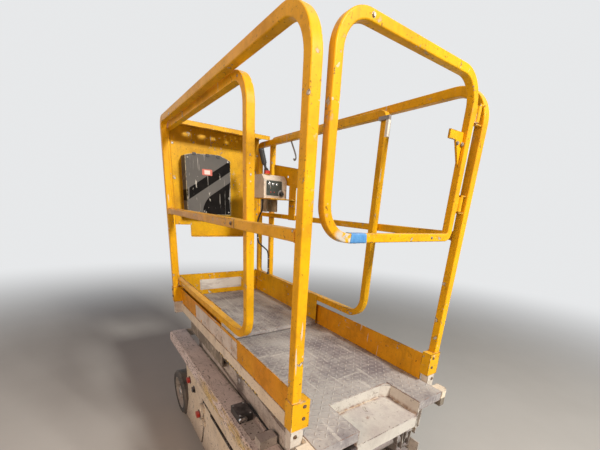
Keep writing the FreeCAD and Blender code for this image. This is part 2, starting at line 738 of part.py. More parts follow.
def outer_pins(level):
    """Pins in the middle and at the front, and at the rear above the lowest level."""
    span, pin, reach = number("armSpan"), number("pinRadius"), arm_reach()
    start = number("innerFace - pinLap")
    pins = [cross_rod(span / 2, start if side > 0 else -reach, 0, pin, reach - start) for side in (1, -1)]
    pins.append(cross_rod(span, -reach, 0, pin, 2 * reach))
    if level > 1:
        pins.append(cross_rod(0, -reach, 0, pin, 2 * reach))
    return pins


def top_rollers():
    """Rollers beside the front ends of the highest outer arms."""
    reach, wide, gap = arm_reach(), number("rollerWide"), number("plate")
    shapes = []
    for side in (1, -1):
        far = reach + gap + wide - 2
        shapes.append(cross_rod(number("armSpan"), reach if side > 0 else -far, 0, number("rollerPin"),
                                far - reach))
        shapes.append(cross_rod(number("armSpan"), reach + gap if side > 0 else -far, 0,
                                number("rollerRadius"), wide - 2))
    return shapes


def low_rollers():
    """Axle and rollers at the front ends of the lowest inner arms."""
    reach, wide = number("outerFace + 30"), number("rollerWide + 2")
    shapes = [cross_rod(0, -reach, 0, number("rollerPin"), 2 * reach)]
    for low in (reach - wide, -reach):
        shapes.append(cross_rod(0, low, 0, number("rollerRadius"), wide))
    return shapes


def inner_ties():
    """Cross tubes near both ends of an inner frame."""
    reach = number("innerFace + 1")
    return [cross_rod(x, -reach, 0, number("tieRadius"), 2 * reach)
            for x in (number("tieInset"), number("armSpan - tieInset"))]


def ram_lugs(level):
    """Lugs on a cross tube for one end of the lift ram, and its pin on the lowest level."""
    span, inset = number("armSpan"), number("ramInset")
    tie = number("tieInset") if level == 1 else number("armSpan - tieInset")
    eye = inset if level == 1 else span - inset
    near, thick, half = number("lugIn"), number("lugThick"), number("lugHalf")
    shapes = []
    for side in (1, -1):
        shapes.append(side_box(side, min(eye, tie), near, near + thick, -half, abs(eye - tie), 2 * half))
        shapes.append(cross_rod(eye, near if side > 0 else -near - thick, 0, half, thick))
    if level == 1:
        shapes.append(cross_rod(eye, -near - thick, 0, number("ramPin"), 2 * (near + thick)))
    return shapes


def bored(shape, bores):
    """Cuts bores across the whole frame: place along the arm, radius."""
    reach = arm_reach() + 10
    tools = [cross_rod(x, -reach, 0, radius, 2 * reach) for x, radius in bores]
    return shape.cut(Part.makeCompound(tools)) if tools else shape


def arm_lean():
    return math.degrees(math.asin(number("armPitch") / number("armSpan")))


def arm_outer(level):
    shape = arm_tubes(number("outerFace")).multiFuse(outer_pins(level))
    if level == 4:
        shape = shape.multiFuse(top_rollers())
    shape = bored(shape, [(0, number("pinRadius + runFit"))] if level == 1 else [])
    item = feature("arm_outer_%d" % level, shape)
    base = number("pivotLow") + (level - 1) * number("armPitch")
    item.Placement = FreeCAD.Placement(V(number("pivotBack"), 0, base),
                                       FreeCAD.Rotation(V(0, 1, 0), -arm_lean()))
    return node(item)


def arm_inner(level):
    """The inner frame's own +X runs from its low front pivot to its high rear pivot."""
    span, pin, run = number("armSpan"), number("pinRadius"), number("runFit")
    parts = inner_ties()
    bores = [(span / 2, pin + run), (span, pin + run)]
    if level == 1:
        parts += low_rollers()
    else:
        bores.append((0, pin + number("openFit")))
    if level <= 2:
        parts += ram_lugs(level)
    shape = bored(arm_tubes(number("innerFace")).multiFuse(parts), bores)
    item = feature("arm_inner_%d" % level, shape)
    base = number("pivotLow") + (level - 1) * number("armPitch")
    reach = span * math.cos(math.radians(arm_lean()))
    turn = FreeCAD.Rotation(V(0, 0, 1), 180).multiply(FreeCAD.Rotation(V(0, 1, 0), -arm_lean()))
    item.Placement = FreeCAD.Placement(V(number("pivotBack") + reach, 0, base), turn)
    return node(item)


def ram_line():
    """Foot, direction and length of the ram in the stowed stack."""
    span, inset, pitch = number("armSpan"), number("ramInset"), number("armPitch")
    lean = math.radians(arm_lean())
    front = number("pivotBack") + span * math.cos(lean)
    foot = V(front - inset * math.cos(lean), 0, number("pivotLow") + inset * math.sin(lean))
    head = V(number("pivotBack") + inset * math.cos(lean), 0,
             number("pivotLow") + 2 * pitch - inset * math.sin(lean))
    return foot, (head - foot).normalize(), (head - foot).Length


def ram_eye(centre):
    half = number("eyeHalf")
    return Part.makeCylinder(number("eyeRadius"), 2 * half, centre - V(0, half, 0), V(0, 1, 0))


def ram_barrel():
    foot, along, length = ram_line()
    eye, run = number("eyeRadius"), number("runFit")
    mouth = length - 70
    barrel = Part.makeCylinder(number("ramRadius"), mouth - eye, foot + along * eye, along)
    barrel = barrel.multiFuse([ram_eye(foot), Part.makeCylinder(number("ramFoot"), eye + 10, foot, along)])
    bore = Part.makeCylinder(number("rodRadius") + run, mouth, foot + along * (eye + 50), along)
    pin_bore = cross_rod(foot.x, -60, foot.z, number("ramPin") + run, 120)
    return node(feature("ram_barrel", barrel.cut(Part.makeCompound([bore, pin_bore]))))


def ram_rod():
    foot, along, length = ram_line()
    start = 140
    stem = Part.makeCylinder(number("rodRadius"), length - start - 20, foot + along * start, along)
    return node(feature("ram_rod", stem.fuse(ram_eye(foot + along * length))))


# Platform: deck with its entry well, side channels, toe boards, two rail frames

def deck_main():
    """Deck sheet with a cut-out for the entry well, folded rear edges and a front beam."""
    under = "deckTop - plate"
    wide = "deckHalf - sheetThin"
    sheet_top = block("deck_sheet", "-halfLength", "-(" + wide + ")", under, "halfLength + deckFront",
                      "2 * (" + wide + ")", "plate")
    well = block("deck_notch", "-halfLength - 1", "-notchRight", under + " - 1", "notchDeep + 1",
                 "notchLeft + notchRight", "plate + 2")
    pieces = [cut("deck_cut", sheet_top, [well])]
    pieces.append(block("edge_left", "-halfLength", "notchLeft + plate", "deckTop - deckEdge", "plate",
                        wide + " - notchLeft - plate", "deckEdge - plate"))
    pieces.append(block("edge_right", "-halfLength", "-(" + wide + ")", "deckTop - deckEdge", "plate",
                        wide + " - notchRight - plate", "deckEdge - plate"))
    pieces.append(block("front_beam", "deckFront - beamDeep", "-deckHalf + skirtWide", "deckTop - skirtDrop",
                        "beamDeep", "2 * (deckHalf - skirtWide)", "skirtDrop - plate"))
    for side in SIDES:
        pieces.append(side_block("wear_strip", side, "extDeckBack + slideReach + padLong + slideStop",
                                 "deckHalf - 70", "deckHalf - 70 + stripWide", "deckTop", "stripLong",
                                 "slideGap - padGap"))
    return node(fuse("deck_main", pieces))


def entry_well():
    """Sunk step in the rear edge of the deck: floor, three walls, corner gusset, apron and side bracket."""
    low = "deckTop - notchDrop - plate"
    floor_top = "deckTop - notchDrop"
    across = "notchLeft + notchRight"
    corner = [("-halfLength + notchDeep", "-notchRight"), ("-halfLength + notchDeep", "-notchRight + 42"),
              ("-halfLength + notchDeep - notchCorner", "-notchRight")]
    pieces = [
        block("well_floor", "-halfLength", "-notchRight", low, "notchDeep", across, "plate"),
        block("well_front", "-halfLength + notchDeep", "-notchRight - plate", low, "plate",
              across + " + 2 * plate", "notchDrop"),
        block("well_left", "-halfLength", "notchLeft", low, "notchDeep", "plate", "notchDrop"),
        block("well_right", "-halfLength", "-notchRight - plate", low, "notchDeep", "plate", "notchDrop"),
        block("well_apron", "-halfLength", "-notchRight", low + " - apronDrop", "plate", across, "apronDrop"),
        prism("well_corner", "XY_Plane", corner, "notchDrop - plate", floor_top),
    ]
    outer = "-notchRight - plate - hookWide"
    hook = block("well_hook", "-halfLength", outer, "deckTop - deckEdge - hookTall", "hookDeep", "hookWide",
                 "hookTall")
    mouth = block("hook_mouth", "-halfLength - 1", outer + " + 3", "deckTop - deckEdge - hookTall + 3",
                  "hookDeep - 2", "hookWide - 6", "hookTall - 6")
    pieces.append(cut("well_bracket", hook, [mouth]))
    return node(fuse("entry_well", pieces))


def deck_channels():
    """Side channels with rear corner blocks, hanging roller tracks and rear pivot plates."""
    top = "deckTop - plate"
    low = "deckTop - skirtDrop"
    inner = "deckHalf - skirtWide"
    shelf = "pivotLow + 4 * armPitch - rollerRadius - rollGap - 8"
    pivot = "pivotLow + 4 * armPitch"
    pieces = []
    for side in SIDES:
        pieces.append(side_block("channel", side, "-halfLength + plate", inner, "skirtOut", low,
                                 "halfLength + deckFront - plate", "skirtDrop - plate"))
        pieces.append(side_block("channel_lip", side, "postBack + tube + footLap", "deckHalf", "skirtOut", top,
                                 "deckFront - postBack - tube - footLap", "skirtRise + plate"))
        pieces.append(side_block("hang_web", side, "0", inner + " - 6", inner, shelf, "590",
                                 top + " + 8 - (" + shelf + " + 8)"))
        pieces.append(side_block("hang_shelf", side, "0", "outerFace + armWide + 6", inner, shelf, "590", "8"))
        pieces.append(side_block("deck_lug", side, "pivotBack - 32", "outerFace - 5", "outerFace + 7",
                                 pivot + " - 32", "64", top + " - (" + pivot + ") + 32"))
        pieces.append(side_block("lug_tie", side, "pivotBack - 32", "outerFace + 7", inner, low, "64",
                                 "skirtDrop - plate"))
        pieces.append(side_rod("deck_pin", side, "pivotBack", "innerFace - pinLap", "outerFace + 7", pivot,
                               "pinRadius"))
        ends = [("-halfLength", "skirtOut"), ("-halfLength", "cornerOut - cornerRound"),
                ("-halfLength + cornerRound", "cornerOut"), ("-halfLength + cornerDeep", "cornerOut"),
                ("-halfLength + cornerDeep", "skirtOut")]
        ends = [(u, v if side == "left" else "-(" + v + ")") for u, v in ends]
        pieces.append(prism("corner_block_" + side, "XY_Plane", ends, "cornerTall", top + " - cornerTall"))
    return node(fuse("deck_channels", pieces))


def toe_boards_main():
    pieces = [side_block("toe_board", side, "postBack + tube + footLap", "deckHalf - sheetThin", "deckHalf",
                         "deckTop", "postFront - postBack - 2 * (tube + footLap)", "toeTop") for side in SIDES]
    return node(fuse("toe_boards_main", pieces))


def rail_frame(side):
    """Top rail bent down into both posts, mid rail with its sleeve, sockets at the posts' feet."""
    wide, corner, slim = number("tube"), number("tubeRound"), number("tubeSlim")
    y = side * (number("railHalf") - wide / 2)
    deck, half = number("deckTop"), wide / 2
    back, front = number("postBack") + half, number("postFront") - half
    top, mid = deck + number("railHigh") - half, deck + number("midHigh") - half
    foot = deck - 40
    hoop = bent_tube([V(back, y, foot), V(back, y, top), V(front, y, top), V(front, y, foot)],
                     [number("bendBack") - half, number("bendFront") - half], V(0, 1, 0), wide, corner)
    end = number("sleeveFront")
    sleeve = bent_tube([V(back + half - 1, y, mid), V(end, y, mid)], [], V(0, 1, 0), wide, corner)
    slender = bent_tube([V(end - 1, y, mid - 3), V(front - half + 1, y, mid - 3)], [], V(0, 1, 0), slim, corner)
    pieces = [sleeve, slender]
    inner, outer, lap = number("skirtOut"), number("railHalf"), number("footLap")
    for x in (back, front):
        pieces.append(side_box(side, x - half - lap, number("footIn"), outer + 3, deck + number("footLow"),
                               wide + 2 * lap, number("footTall")))
        pieces.append(side_box(side, x - half, inner, outer, deck - number("stubDrop"), wide,
                               number("stubDrop + footLow")))
    return hoop.multiFuse(pieces)


def rails_main():
    return node(feature("rails_main", Part.makeCompound([rail_frame(1), rail_frame(-1)])))


# Extension: deck, toe boards, side loops, front wall with its box and the control box

def deck_extension():
    low = "deckTop + slideGap"
    wide = "extDeckHalf - sheetThin"
    rise = "extDeckTall - slideGap - plate"
    pieces = [block("ext_sheet", "extDeckBack", "-(" + wide + ")", "deckTop + extDeckTall - plate",
                    "extFront - extDeckBack", "2 * (" + wide + ")", "plate")]
    for name, x in (("ext_edge_back", "extDeckBack"), ("ext_edge_front", "extFront - plate")):
        pieces.append(block(name, x, "-(" + wide + ")", low, "plate", "2 * (" + wide + ")", rise))
    for side in SIDES:
        pieces.append(side_block("ext_rib_outer", side, "extDeckBack", wide + " - ribWide", wide, low,
                                 "extFront - extDeckBack", rise))
        pieces.append(side_block("ext_rib_inner", side, "extDeckBack", "60", "60 + ribWide", low,
                                 "extFront - extDeckBack", rise))
        pieces.append(side_block("ext_pad", side, "extDeckBack", wide + " - stripWide", wide,
                                 "deckTop + padGap", "padLong", "slideGap - padGap"))
    return node(fuse("deck_extension", pieces))


def toe_boards_extension():
    pieces = [block("ext_toe_front", "extFront - extToeInset", "-extDeckHalf + sheetThin",
                    "deckTop + extDeckTall", "sheetThin", "2 * (extDeckHalf - sheetThin)",
                    "extToeTop - extDeckTall")]
    for side in SIDES:
        pieces.append(side_block("ext_toe", side, "extDeckBack", "extDeckHalf - sheetThin", "extDeckHalf",
                                 "deckTop + slideGap", "extFront - extDeckBack", "extToeTop - slideGap"))
    return node(fuse("toe_boards_extension", pieces))


def extension_loop(side):
    """Closed side loop with a mid rail and two feet down to the extension deck."""
    wide, corner = number("tube"), number("tubeRound")
    half = wide / 2
    y = side * (number("extHalf") - half)
    deck = number("deckTop")
    back, front = number("extBack") + half, number("loopFront") - half
    top, low = deck + number("extTop") - half, deck + number("extLow") + half
    rear_bend, front_bend = number("extBend") - half, number("extNose") - half
    high_bend = rear_bend if side > 0 else number("extBendRight") - half
    loop = ring_tube([V(back, y, (low + top) / 2), V(back, y, top), V(front, y, top), V(front, y, low),
                      V(back, y, low)], [high_bend, front_bend, front_bend, rear_bend], V(0, 1, 0), wide, corner)
    mid = deck + number("midHigh") - half
    rail = bent_tube([V(back + half - 1, y, mid), V(front - half + 1, y, mid)], [], V(0, 1, 0),
                     number("tubeSlim"), corner)
    flat, tall = number("footFlat"), number("footFlatTall")
    feet = [side_box(side, x, number("extDeckHalf"), number("extHalf") - 6,
                     deck + number("extLow") + wide - tall, flat, tall)
            for x in (number("extDeckBack") + 60, front - 120)]
    return loop.multiFuse([rail] + feet)


def rails_extension():
    return node(feature("rails_extension", Part.makeCompound([extension_loop(1), extension_loop(-1)])))


# Holes of the shelf: distance from the wall, across, radius
SHELF_HOLES = (
    (96, 176, 26), (96, 85, 26), (96, 14, 20), (112, -80, 15), (110, -215, 20),
    (74, -26, 7), (74, -66, 7), (74, -106, 7), (74, -146, 7),
    (38, -56, 7), (38, -93, 7), (38, -130, 7), (38, -168, 7),
)


def front_panel():
    """Front wall between the loops: shelf with holes above, lower flange with cut corners."""
    inner = number("extHalf") - number("tube")
    deck, thin, x = number("deckTop"), number("sheetThin"), number("wallX")
    low, top, deep, lip = (number(name) for name in ("wallLow", "shelfTop", "shelfDeep", "shelfLip"))
    skirt = deck + low + 76
    wall = Part.makeBox(thin, 2 * inner, deck + top - thin - skirt, V(x, -inner, skirt))
    shelf = Part.makeBox(deep + thin, 2 * inner, thin, V(x - deep, -inner, deck + top - thin))
    edge = Part.makeBox(thin, 2 * inner, lip, V(x - deep, -inner, deck + top - thin - lip))
    left, right = number("flangeLeft"), number("flangeRight")
    bib = Part.makeBox(thin, left + right, 76, V(x, -right, deck + low))
    flange = Part.makeBox(number("wallFlange"), left + right, thin, V(x - number("wallFlange"), -right, deck + low))
    holes = [Part.makeCylinder(radius, 20, V(x - away, y, deck + top - 10)) for away, y, radius in SHELF_HOLES]
    return node(feature("front_panel", wall.multiFuse([shelf, edge, bib, flange]).cut(Part.makeCompound(holes))))


def front_box():
    """Box on the front wall with a ridged lid."""
    low, high = "deckTop + frontBoxLow", "deckTop + frontBoxHigh"
    points = [("frontBoxLeft", low), ("frontBoxLeft", high + " - 22"), ("frontBoxLeft - 40", high + " - 10"),
              ("60", high), ("20", high), ("-frontBoxRight", high + " - 26"), ("-frontBoxRight", low)]
    return node(prism("front_box", "YZ_Plane", points, "frontBoxDeep", "wallX - frontBoxDeep"))


def control_box():
    """Box with a sloped upper edge that looks back at the operator."""
    low, high = "deckTop + ctrlLow", "deckTop + ctrlLow + ctrlTall"
    points = [("ctrlBack", low), ("ctrlBack + ctrlDeep", low), ("ctrlBack + ctrlDeep", high),
              ("ctrlBack + ctrlSlope", high), ("ctrlBack", high + " - ctrlSlope")]
    return node(prism("control_box", "XZ_Plane", points, "ctrlLeft - ctrlRight", "-ctrlLeft"))


def control_bracket():
    """Tilted hanger plate on a strap, and the seat with a cup under the control box."""
    plane = "-hangerIn"
    high, low = "deckTop + hangerHigh", "deckTop + hangerLow"
    tilted = [("hangerBack", low), ("hangerFront", low + " + hangerRise"), ("hangerFront", high + " + hangerRise"),
              ("hangerBack", high)]
    hanger = prism("hanger_plate", "XZ_Plane", tilted, "hangerThick", plane)
    slot = block("hanger_slot", "strapBack + strapWide + 12", "hangerIn - hangerThick - 1",
                 high + " - 2 * hangerSlot - hangerRise / 2", "2 * hangerSlot", "hangerThick + 2", "hangerSlot")
    seat = "deckTop + ctrlLow - seatThick"
    cup = seat + " - cupTall"
    left = "ctrlLeft - cupInset - seatThick"
    pieces = [
        cut("hanger_cut", hanger, [slot]),
        block("hanger_strap", "strapBack", "hangerIn - hangerThick", "deckTop + midHigh - tube", "strapWide",
              "hangerThick", "hangerLow + hangerSlot - midHigh + tube"),
        block("box_seat", "strapBack", "hangerIn", seat, "ctrlBack + ctrlDeep - strapBack",
              "ctrlLeft - hangerIn", "seatThick"),
        block("seat_cup_left", "ctrlBack + ctrlSlope", left, cup, "cupLong", "seatThick", "cupTall"),
        block("seat_cup_front", "ctrlBack + ctrlSlope + cupLong", left + " - cupLong", cup, "seatThick",
              "cupLong + seatThick", "cupTall"),
        block("seat_cup_right", "ctrlBack + ctrlSlope", left + " - cupLong", cup, "cupLong", "seatThick",
              "cupTall"),
    ]
    return node(fuse("control_bracket", pieces))


# Lean of the joystick: forward and to the left for each unit of height
STICK_LEAN = (0.0, 0.3)


def joystick():
    """Leaning grip on a round base."""
    foot = V(number("ctrlBack + stickInset"), number("ctrlLeft - stickAcross"),
             number("deckTop + ctrlLow + ctrlTall"))
    lean = V(STICK_LEAN[0], STICK_LEAN[1], 1).normalize()
    base, thin, grip = number("stickBase"), number("stickThin"), number("stickLong")
    shape = Part.makeCylinder(base, base / 2, foot)
    shape = shape.multiFuse([Part.makeCylinder(thin, grip / 2, foot + V(0, 0, base / 4), lean),
                             Part.makeCone(1.5 * thin, 2 * thin, grip * 0.6, foot + lean * grip * 0.4, lean)])
    return node(feature("joystick", shape))


def stop_button():
    return node(rod("stop_button", "Z", "ctrlBack + stopInset", "ctrlLeft - stopAcross",
                    "deckTop + ctrlLow + ctrlTall", "stopRadius", "stopTall"))


# Corners of the control cable between the seat and the right loop's lower bar: along X, across, above the deck
CABLE_CORNERS = ((420, -152, 655), (480, -150, 580), (478, -150, 445), (622, -310, 355))


def control_cable():
    """Cable from the control box's seat down past the mid rail to the lower bar of the right loop."""
    radius, bend, deck = number("cableRadius"), number("cableBend"), number("deckTop")
    corners = [V(x, y, deck + z) for x, y, z in CABLE_CORNERS]
    first, last = corners[0], corners[-1]
    start = V(first.x, first.y, number("deckTop + ctrlLow - seatThick"))
    end = V(last.x - radius, last.y, deck + number("extLow + tube") + 0.3)
    path = path_wire([start] + corners + [end], [bend] * len(corners))
    ring = Part.Wire(Part.makeCircle(radius, start, V(0, 0, 1)))
    return node(feature("control_cable", path.makePipeShell([ring], True, True)))


def lock_lever():
    """Hanging grip on a short arm from the right loop's rear bend."""
    y = "-extHalf + tube"
    arm_low = "deckTop + extTop - tube - lockBar"
    grip = block("lock_grip", "extBack - lockReach", y, arm_low + " - lockLong", "lockBar", "lockBar",
                 "lockLong + lockBar")
    arm = block("lock_arm", "extBack - lockReach", y, arm_low, "lockReach + tube", "lockBar", "lockBar")
    return node(fuse("lock_lever", [grip, arm]))


def gate_heights():
    """Middle heights of the gate's lower and upper bars, and the low ends of its barrels."""
    half, deck = number("gateTube") / 2, number("deckTop")
    low, top = deck + number("gateLow") + half, deck + number("gateHigh") - half
    return low, top, (low + number("hingeFirst"), top - number("hingeSecond"))


def gate():
    """Hoop with hinge barrels and a latch plate on its right side."""
    wide, corner = number("gateTube"), number("tubeRound")
    half = wide / 2
    x = number("postBack") + half
    low, top, barrels = gate_heights()
    left, right = number("gateLeft") - half, half - number("gateRight")
    bend = number("gateBend")
    hoop = ring_tube([V(x, left, (top + low) / 2), V(x, left, top), V(x, right, top), V(x, right, low),
                      V(x, left, low)], [bend, bend, number("gateBendLow"), bend], V(1, 0, 0), wide, corner)
    high = number("deckTop + latchHigh")
    reach = right + number("latchReach")
    lug = [V(x, right, high), V(x, reach, high), V(x, reach, high - wide), V(x, right + 2 * wide, high - wide),
           V(x, right + half, high - 4 * wide), V(x, right, high - 4 * wide)]
    plate = Part.Face(Part.makePolygon(lug + lug[:1])).extrude(V(half / 2, 0, 0))
    axis_y, tall = -number("hingeOut"), number("hingeTall")
    leaf_wide = right - half - axis_y
    shapes, bores = [plate], []
    for z in barrels:
        shapes.append(Part.makeCylinder(number("hingeBarrel"), tall, V(x, axis_y, z)))
        shapes.append(Part.makeBox(half / 2, leaf_wide + 1, tall, V(x - half / 4, axis_y, z)))
        bores.append(Part.makeCylinder(number("hingePin") + number("runFit"), tall + 2, V(x, axis_y, z - 1)))
    return node(feature("gate", hoop.multiFuse(shapes).cut(Part.makeCompound(bores))))


def gate_hinges():
    """Pins on short brackets, one above and one below each gate barrel."""
    x, axis_y, tall = number("postBack") + number("gateTube") / 2, -number("hingeOut"), number("hingeTall")
    post, pin = number("railHalf") - number("tube"), number("hingePin")
    pieces = []
    for z in gate_heights()[2]:
        pieces.append(Part.makeCylinder(pin, tall + 2 * pin, V(x, axis_y, z - pin)))
        for level in (z - pin - 1, z + tall + 1):
            pieces.append(Part.makeBox(3 * pin, axis_y + post + pin + 2, pin, V(x - 1.5 * pin, -post, level)))
    return node(feature("gate_hinges", pieces[0].multiFuse(pieces[1:])))


chassis_floor()
tray_walls()
nose_frame()
roller_tracks()
pivot_lugs()
covers()
side_panels()
for side in SIDES:
    door(side)
battery_pack()
pump_unit()
rear_axle()
front_axle()
for side in SIDES:
    knuckle(side)
for name, x, sign in WHEELS:
    wheel(name, x, sign)
ladder()
limit_switch()
switch_bracket()
ground_controls()
for level in (1, 2, 3, 4):
    arm_outer(level)
    arm_inner(level)
ram_barrel()
ram_rod()
deck_main()
entry_well()
deck_channels()
toe_boards_main()
rails_main()
deck_extension()
toe_boards_extension()
rails_extension()
front_panel()
front_box()
control_box()
control_bracket()
joystick()
stop_button()
control_cable()
lock_lever()
gate()
gate_hinges()

doc.recompute()
for item in doc.Objects:
    if "Invalid" in item.State or "Error" in item.State:
        raise RuntimeError("failed: " + item.Name + " " + str(item.State))
for item in NODES:
    if item.Shape.isNull() or not item.Shape.isValid():
        raise RuntimeError("bad shape: " + item.Label)
for item in NODES:
    item.Shape.exportStep("parts/" + item.Label + ".step")
    print(item.Label, len(item.Shape.Solids), round(item.Shape.Volume / 1e6, 3))
print("sub-parts", len(NODES))
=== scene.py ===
import bpy
import bmesh
import math
import numpy as np
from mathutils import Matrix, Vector


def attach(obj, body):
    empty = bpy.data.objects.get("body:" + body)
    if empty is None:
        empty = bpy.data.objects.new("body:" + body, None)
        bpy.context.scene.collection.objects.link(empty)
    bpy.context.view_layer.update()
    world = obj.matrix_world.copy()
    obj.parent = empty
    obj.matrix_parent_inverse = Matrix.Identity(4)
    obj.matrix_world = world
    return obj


# Compact scissor lift, stowed: looks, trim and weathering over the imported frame.
# Metres. +X points to the extension end, +Y to the left, +Z up.

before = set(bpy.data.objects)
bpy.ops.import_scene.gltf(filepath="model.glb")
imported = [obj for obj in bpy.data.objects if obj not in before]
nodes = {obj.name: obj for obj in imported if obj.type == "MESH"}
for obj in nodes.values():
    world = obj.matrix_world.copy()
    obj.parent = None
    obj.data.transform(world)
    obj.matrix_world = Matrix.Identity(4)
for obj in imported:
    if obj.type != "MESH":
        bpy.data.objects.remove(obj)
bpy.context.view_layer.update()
print("stage: frame loaded,", len(nodes), "nodes")


# Shader tools: a wire is one socket, and arithmetic on wires adds Math nodes
class Wire:
    def __init__(self, paint, socket):
        self.paint = paint
        self.socket = socket

    def maths(self, operation, *others):
        return self.paint.maths(operation, self, *others)

    def __add__(self, other):
        return self.maths("ADD", other)

    def __radd__(self, other):
        return self.paint.maths("ADD", other, self)

    def __sub__(self, other):
        return self.maths("SUBTRACT", other)

    def __rsub__(self, other):
        return self.paint.maths("SUBTRACT", other, self)

    def __mul__(self, other):
        return self.maths("MULTIPLY", other)

    def __rmul__(self, other):
        return self.paint.maths("MULTIPLY", other, self)

    def __truediv__(self, other):
        return self.maths("DIVIDE", other)

    def __pow__(self, other):
        return self.maths("POWER", other)

    def above(self, edge, soft):
        # 0 below edge - soft, 1 above edge + soft, smooth between
        return self.paint.ramp(self, edge - soft, edge + soft)

    def below(self, edge, soft):
        return 1.0 - self.above(edge, soft)

    def within(self, low, high, soft=0.001):
        return self.above(low, soft) * self.below(high, soft)

    def least(self, other):
        return self.maths("MINIMUM", other)

    def most(self, other):
        return self.maths("MAXIMUM", other)

    def size(self):
        return self.maths("ABSOLUTE")


# A paint is one material being built: its colour starts as one tint and is covered layer by layer
class Paint:
    def __init__(self, name, base):
        self.colour = base
        self.material = bpy.data.materials.new(name)
        self.material.use_nodes = True
        self.tree = self.material.node_tree
        self.tree.nodes.clear()
        coordinates = self.add("TexCoord", {}, {})
        self.spot = self.wire(coordinates, "Object")
        split = self.add("SeparateXYZ", {}, {"Vector": self.spot})
        self.x, self.y, self.z = (self.wire(split, axis) for axis in "XYZ")
        facing = self.add("SeparateXYZ", {}, {"Vector": self.wire(coordinates, "Normal")})
        self.upward = self.wire(facing, "Z")

    def wire(self, node, output=0):
        return Wire(self, node.outputs[output])

    def feed(self, socket, value):
        if isinstance(value, Wire):
            self.tree.links.new(value.socket, socket)
        else:
            socket.default_value = value

    def add(self, kind, settings, inputs):
        node = self.tree.nodes.new("ShaderNode" + kind)
        for key, value in settings.items():
            setattr(node, key, value)
        for key, value in inputs.items():
            self.feed(node.inputs[key], value)
        return node

    def maths(self, operation, *values):
        return self.wire(self.add("Math", {"operation": operation}, dict(enumerate(values))))

    def vectors(self, operation, *values, output=0):
        node = self.add("VectorMath", {"operation": operation}, dict(enumerate(values)))
        return self.wire(node, output)

    def ramp(self, value, low, high):
        settings = {"interpolation_type": "SMOOTHSTEP"}
        return self.wire(self.add("MapRange", settings, {"Value": value, "From Min": low, "From Max": high}))

    def mix(self, factor, first, second):
        # Colour mix: first where factor is 0, second where it is 1
        inputs = {0: factor, 6: first, 7: second}
        return self.wire(self.add("Mix", {"data_type": "RGBA", "clamp_factor": True}, inputs), 2)

    def cover(self, mask, tint):
        self.colour = self.mix(mask, self.colour, tint)

    def noise(self, scale, detail=3.0, rough=0.55, stretch=None):
        vector = self.spot
        if stretch:
            vector = self.wire(self.add("Mapping", {}, {"Vector": self.spot, "Scale": stretch}))
        inputs = {"Vector": vector, "Scale": scale, "Detail": detail, "Roughness": rough}
        return self.wire(self.add("TexNoise", {}, inputs), "Fac")

    def edges(self, radius, low=0.02, high=0.16):
        # 1 minus the cosine between the rounded and the flat normal: 0 on faces, above 0 near edges
        rounded = self.wire(self.add("Bevel", {"samples": 6}, {"Radius": radius}), "Normal")
        flat = self.wire(self.add("NewGeometry", {}, {}), "Normal")
        turn = 1.0 - self.vectors("DOT_PRODUCT", rounded, flat, output="Value")
        return self.ramp(turn, low, high)

    def zone(self, x=None, y=None, z=None, soft=0.001):
        # 1 inside a box, each side given as (low, high)
        inside = [axis.within(*limits, soft) for axis, limits in ((self.x, x), (self.y, y), (self.z, z)) if limits]
        whole = inside[0]
        for part in inside[1:]:
            whole = whole * part
        return whole

    def reach(self, centre, across):
        # Distance from a line through centre along one axis, so circles on that face
        names = [k for k in range(3) if k != across]
        parts = [((self.x, self.y, self.z)[k] - centre[k]) ** 2.0 for k in names]
        return (parts[0] + parts[1]) ** 0.5

    def bump(self, height, strength, distance):
        inputs = {"Height": height, "Strength": strength, "Distance": distance}
        return self.wire(self.add("Bump", {}, inputs), "Normal")

    def finish(self, rough, normal, fixed=None):
        # The colour, roughness and normal vary; fixed sockets take plain numbers
        inputs = {"Base Color": self.colour, "Roughness": rough, "Normal": normal, **(fixed or {})}
        shader = self.add("BsdfPrincipled", {}, inputs)
        self.add("OutputMaterial", {}, {"Surface": self.wire(shader, "BSDF")})
        return self.material


def rgb(red, green, blue):
    return (red, green, blue, 1.0)


# Painted steel: what shows where the paint has gone, and what lies on it
wear = {
    "primer": rgb(0.58, 0.56, 0.50),
    "bareSteel": rgb(0.24, 0.22, 0.20),
    "darkRust": rgb(0.055, 0.024, 0.012),
    "rust": rgb(0.20, 0.070, 0.022),
    "dust": rgb(0.36, 0.31, 0.32),
    "chipScale": 34.0,
    "scratchScale": 70.0,
    "spotScale": 62.0,
    "edgeRadius": 0.0055,
    "bumpDepth": 0.0007,
}


